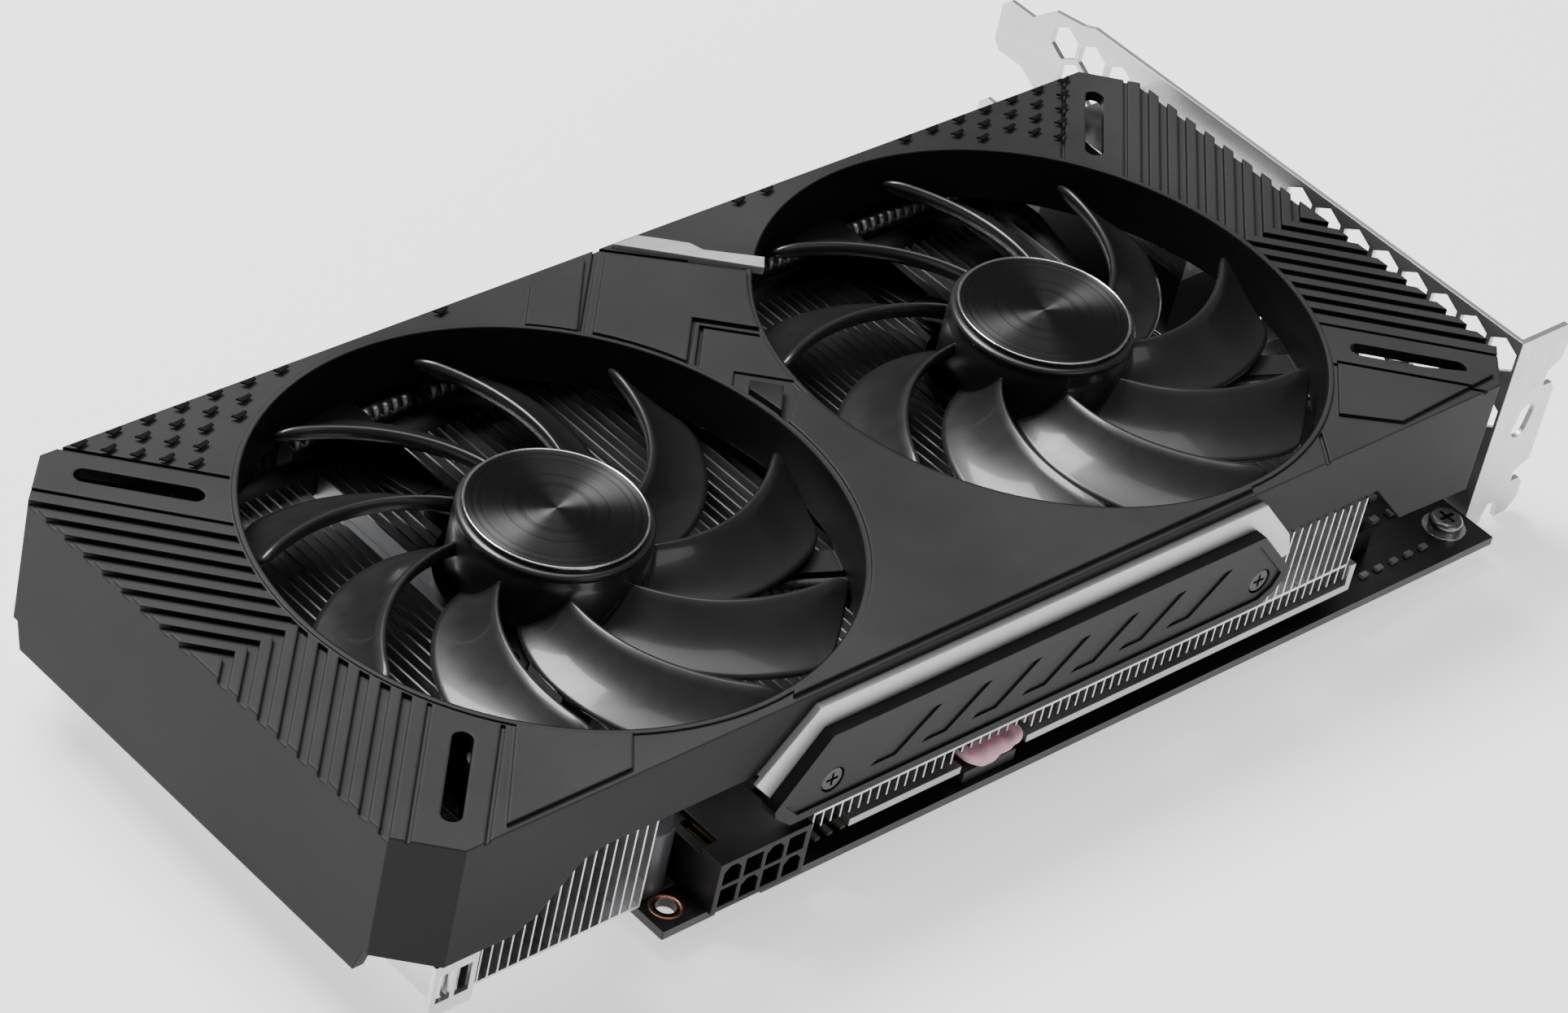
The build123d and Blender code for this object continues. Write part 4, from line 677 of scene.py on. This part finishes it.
# spun disc with a thin bright lip; its face carries plain rings only
discShape = {
    "lip": 0.42 * mm,       # width of the bright lip
    "lipHeight": 0.25 * mm,
    "lipSlope": 0.1 * mm,
    "lipRound": (0.08 * mm, 0.12 * mm),   # in and down, at the lip's outer edge
    "dish": 0.12 * mm,      # face below the lip
    "centreDot": 0.02 * mm,
}


def makeDisc(fanName):
    s = discShape
    centre = fans[fanName]["centre"]
    low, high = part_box(fanName + "_hub_disc")
    r = (high.x - low.x) / 2
    inner = r - s["lip"]
    faceZ = high.z - s["dish"]
    sideTop = high.z - s["lipHeight"]
    roundIn, roundDown = s["lipRound"]
    side = [(r, sideTop), (r, low.z)]
    face = [(s["centreDot"], faceZ), (inner * 0.5, faceZ), (inner, faceZ)]
    lip = [(inner, faceZ), (inner + s["lipSlope"], high.z), (r - roundIn, high.z),
           (r, high.z - roundDown), (r, sideTop)]
    origin = Vector((0, 0, 0))
    verts, faces = joinMeshes([latheMesh(face, turnedSteps, origin), latheMesh(side, turnedSteps, origin)])
    disc = makeObject(fanName + "DiscFace", verts, faces)
    disc.location = (centre.x, centre.y, 0)
    fixNormals(disc)
    place(disc, "discMetal", fans[fanName]["body"], "disc_metal")
    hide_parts(fanName + "_hub_disc")
    verts, faces = latheMesh(lip, turnedSteps, centre)
    rim = makeObject(fanName + "DiscLip", verts, faces)
    fixNormals(rim)
    place(rim, "rimMetal", fans[fanName]["body"], "disc_metal")


for fanName in fans:
    makeRotor(fanName)
    makeDisc(fanName)
print("fans ready")

# small raised marks on the cover; their near-black colour is painted shade

edgeMarks = {
    "pitch": 6.15 * mm,
    "rowGap": 2.9 * mm,
    "rows": 6,
    "fromEdge": 1.4 * mm,
    "proud": 0.12 * mm,           # over markZ
    "sunk": 0.1 * mm,             # under markZ
    "stroke": 0.75 * mm,
    "startFromTail": 13.3 * mm,
    "endFromTail": 10.3 * mm,
    "bandReach": 10.0 * mm,       # the rib bands at both ends stay clear
    "clearOfOpening": 2.6 * mm,
    "panelsHalf": 29 * mm,        # half the length of the panels between the fans
    "panelsShift": 2 * mm,
}
tickShape = {
    "shortReach": 1.0 * mm,
    "shortRise": 0.55 * mm,
    "cornerIn": 0.3 * mm,
    "cornerDrop": 0.45 * mm,
    "longReach": 1.7 * mm,
    "longRise": 0.15 * mm,
    "innerCorner": 0.15 * mm,
    "innerReach": 0.6 * mm,
}


# small two-stroke mark, short stroke and long stroke
def tickOutline(x, y):
    s = tickShape
    w = edgeMarks["stroke"]
    right = x + s["longReach"]
    corner = y - s["cornerDrop"]
    return [
        (x - s["shortReach"], y + s["shortRise"]),
        (x - s["cornerIn"], corner),
        (right, y + s["longRise"]),
        (right, y + s["longRise"] + w * 0.8),
        (x - s["innerCorner"], corner + w * 1.2),
        (x - s["innerReach"], y + s["innerReach"]),
    ]


# whether a mark at x, y would touch a rib band, an opening or a raised panel
def markBlocked(x, y):
    s = edgeMarks
    fromTail = x - coverLow.x
    fromEnd = 2 * (middleX - coverLow.x) - fromTail
    inBand = min(fromTail, fromEnd) - (coverHigh.y - y) < s["bandReach"]
    inPanels = abs(x - middleX + s["panelsShift"]) < s["panelsHalf"]
    reach = openingRadius + s["clearOfOpening"]
    inOpening = any((Vector((x, y)) - fan["centre"].xy).length < reach for fan in fans.values())
    return inBand or inOpening or inPanels


def makeEdgeMarks():
    s = edgeMarks
    parts = []
    lastX = coverHigh.x - s["endFromTail"]
    for row in range(s["rows"]):
        y = coverHigh.y - s["fromEdge"] - row * s["rowGap"]
        x = coverLow.x + s["startFromTail"] + (0 if row % 2 == 0 else s["pitch"] / 2)
        while x < lastX:
            if not markBlocked(x, y):
                outline = tickOutline(x, y)
                count = len(outline)
                verts = [(px, py, markZ - s["sunk"]) for px, py in outline]
                verts += [(px, py, markZ + s["proud"]) for px, py in outline]
                faces = [tuple(count + i for i in range(count))]
                parts.append((verts, faces + ringFaces(2, count)))
            x += s["pitch"]
    verts, faces = joinMeshes(parts)
    marks = makeObject("edgeMarks", verts, faces, smooth=False)
    fixNormals(marks)
    place(marks, "markPlastic", "card", "cover_plastic")


makeEdgeMarks()

# curled fin ends beyond the far pipe

finCurl = {
    "pitch": 1.9 * mm,
    "width": 1.66 * mm,
    "depth": 3.0 * mm,      # across the card
    "height": 2.6 * mm,
    "sunk": 0.6,            # share of the height that starts below the fins' top
    "lean": 0.5 * mm,
    "thickness": 0.3 * mm,
    "fromEnd": 0.4 * mm,
    "gap": 0.1 * mm,
    "steps": 8,
}


def makeFinCurls():
    s = finCurl
    parts = []
    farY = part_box("fin_stack")[1].y
    for nodeName in ("tail_fin_stack", "power_fin_stack", "fin_stack"):
        low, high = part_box(nodeName)
        count = int((high.x - low.x - s["fromEnd"]) / s["pitch"])
        for k in range(count):
            x = low.x + s["fromEnd"] + k * s["pitch"] + s["gap"]
            verts = []
            faces = []
            for i in range(s["steps"] + 1):
                a = pi * i / s["steps"]
                y = farY - s["depth"] / 2 - s["depth"] / 2 * cos(a)
                z = finTopZ - s["height"] * s["sunk"] + s["height"] * sin(a)
                lean = s["lean"] * sin(a)
                for side in (0, 1):
                    verts.append((x + side * s["width"] + lean, y, z))
            for i in range(s["steps"]):
                faces.append((2 * i, 2 * i + 1, 2 * i + 3, 2 * i + 2))
            parts.append((verts, faces))
    verts, faces = joinMeshes(parts)
    curls = makeObject("finCurls", verts, faces)
    thick = curls.modifiers.new("sheet", "SOLIDIFY")
    thick.thickness = s["thickness"]
    thick.offset = -1
    place(curls, "curlSheet", "card", "fin_aluminium")


makeFinCurls()
print("cover marks and fin ends ready")

# copper ring round the hole at the board's tail corner
holeRing = {
    "inner": 1.62 * mm,
    "outer": 2.7 * mm,
    "proud": 0.05 * mm,
    "wallDown": 0.2 * mm,    # how far it lines the hole
    "slope": 0.1 * mm,
    "edge": 0.01 * mm,
    "steps": 64,
}


def makeHoleRing():
    s = holeRing
    mount = next(m for m in frame["record"]["mounts"] if m["name"] == "board_corner_hole")
    centre = Vector(mount["pos_m"])
    profile = [
        (s["inner"], boardTop - s["wallDown"]),
        (s["inner"], boardTop + s["proud"]),
        (s["outer"] - s["slope"], boardTop + s["proud"]),
        (s["outer"], boardTop + s["edge"]),
    ]
    verts, faces = latheMesh(profile, s["steps"], centre)
    ring = makeObject("holeRing", verts, faces)
    fixNormals(ring)
    place(ring, "copperMilled", "card", "copper")


makeHoleRing()

# putty pad squeezed out over the near edge
bulgingPad = {
    "stations": 40,
    "around": 20,
    "lift": 1.5 * mm,      # of its lower edge, where it doesn't hang
    "topGap": 0.3 * mm,
    "droop": 1.9 * mm,     # how far its lower edge hangs in the middle
    "droopEnd": 0.8,       # share of the length where the hanging stops
    "bulge": 0.8 * mm,     # past the base plate's edge
    "knobHeight": 0.9 * mm,
    "knobStart": 0.78,     # share of the length where the end knob starts
    "knobForward": 0.4,
    "endPower": 8,         # a higher power gives blunter ends
    "endLeast": 0.02,
    "squareAcross": 0.6,   # 1 is round, lower is squarer
    "squareUp": 0.8,
    "lumps": 0.3 * mm,
    "waves": 5,
    "seed": 7,
}


# keeps the sign of value while changing its power
def signedPower(value, power):
    return abs(value) ** power * (1 if value > 0 else -1)


def makePad():
    s = bulgingPad
    rng = random.Random(s["seed"])
    low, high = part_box("edge_pad")
    turn = 6.28
    waves = [(rng.uniform(2, 9), rng.uniform(0, turn), rng.uniform(0.2, 1)) for k in range(s["waves"])]
    verts = []
    for i in range(s["stations"]):
        t = i / (s["stations"] - 1)
        x = low.x + (high.x - low.x) * t
        end = sqrt(max(s["endLeast"], 1 - (2 * t - 1) ** s["endPower"]))
        lump = sum(a * sin(f * t * turn + p) for f, p, a in waves) * s["lumps"] / 2
        hang = s["droop"] * sin(pi * min(1, t / s["droopEnd"])) ** 2 if t < s["droopEnd"] else 0
        knob = s["knobHeight"] * max(0, sin(pi * (t - s["knobStart"]) / (1 - s["knobStart"])))
        knob = knob if t > s["knobStart"] else 0
        bottom = low.z + s["lift"] - hang
        top = high.z - s["topGap"] + knob
        middle = (bottom + top) / 2
        tall = (top - bottom) / 2 * end
        front = low.y - s["bulge"] * (0.5 + 0.5 * end) - lump - knob * s["knobForward"]
        for k in range(s["around"]):
            a = 2 * pi * k / s["around"]
            across = signedPower(cos(a), s["squareAcross"])
            up = signedPower(sin(a), s["squareUp"])
            y = (front + high.y) / 2 + (high.y - front) / 2 * across * end
            verts.append((x, y, middle + tall * up + lump * 0.5 * sin(3 * a + t * 9)))
    n = s["around"]
    faces = ringFaces(s["stations"], n)
    faces.append(tuple(range(n)))
    faces.append(tuple((s["stations"] - 1) * n + k for k in range(n)))
    pad = makeObject("bulgingPad", verts, faces)
    fixNormals(pad)
    place(pad, "pinkPad", "card", "pad_pink")
    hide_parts("edge_pad")


makePad()
print("board details ready")

# light and floor

studio = {
    "floorSize": 6.0,
    "floorGap": 0.0005,
    "floorColor": (0.95, 0.95, 0.95),
    "floorGlow": 0.9,   # lit from under, like a light table
    "worldStrength": 0.16,
    "lamps": [
        # name, place, aims at, size, power
        ("keySoftbox", (-0.2, 0.72, 1.2), (0.0, 0.0, 0.0), (0.95, 0.55), 36.0),
        ("overheadSoftbox", (0.1, 0.1, 1.5), (0.0, 0.0, 0.0), (0.9, 0.9), 7.0),
        ("nearSoftbox", (0.1, -1.3, 0.6), (0.0, 0.0, 0.02), (0.9, 0.35), 2.0),
    ],
}


def makeStudio():
    s = studio
    size = s["floorSize"]
    floorZ = cadBox[0].z - s["floorGap"]
    corners = [(-size, -size, floorZ), (size, -size, floorZ), (size, size, floorZ), (-size, size, floorZ)]
    floor = makeObject("floor", corners, [(0, 1, 2, 3)], smooth=False)
    material, tree, shader = startMaterial("paleFloor")
    place = objectPlace(tree)
    tint = noiseOn(tree, place, 3, 2)
    low = tuple(c * 0.99 for c in s["floorColor"])
    colorOn(tree, shader, tint, [(0.3, low), (0.7, s["floorColor"])])
    shader.inputs["Roughness"].default_value = 0.9
    shader.inputs["Specular IOR Level"].default_value = 0.1
    shader.inputs["Emission Color"].default_value = (1, 1, 1, 1)
    shader.inputs["Emission Strength"].default_value = s["floorGlow"]
    floor.data.materials.append(material)
    world = bpy.data.worlds.new("studioWorld")
    bpy.context.scene.world = world
    world.use_nodes = True
    background = world.node_tree.nodes["Background"]
    background.inputs["Color"].default_value = (1, 1, 1, 1)
    background.inputs["Strength"].default_value = s["worldStrength"]
    for name, where, aim, shape, power in s["lamps"]:
        data = bpy.data.lights.new(name, "AREA")
        data.shape = "RECTANGLE"
        data.size, data.size_y = shape
        data.energy = power
        lamp = bpy.data.objects.new(name, data)
        lamp.location = where
        lamp.rotation_euler = (Vector(aim) - Vector(where)).to_track_quat("-Z", "Y").to_euler()
        bpy.context.collection.objects.link(lamp)


makeStudio()
print("studio ready")
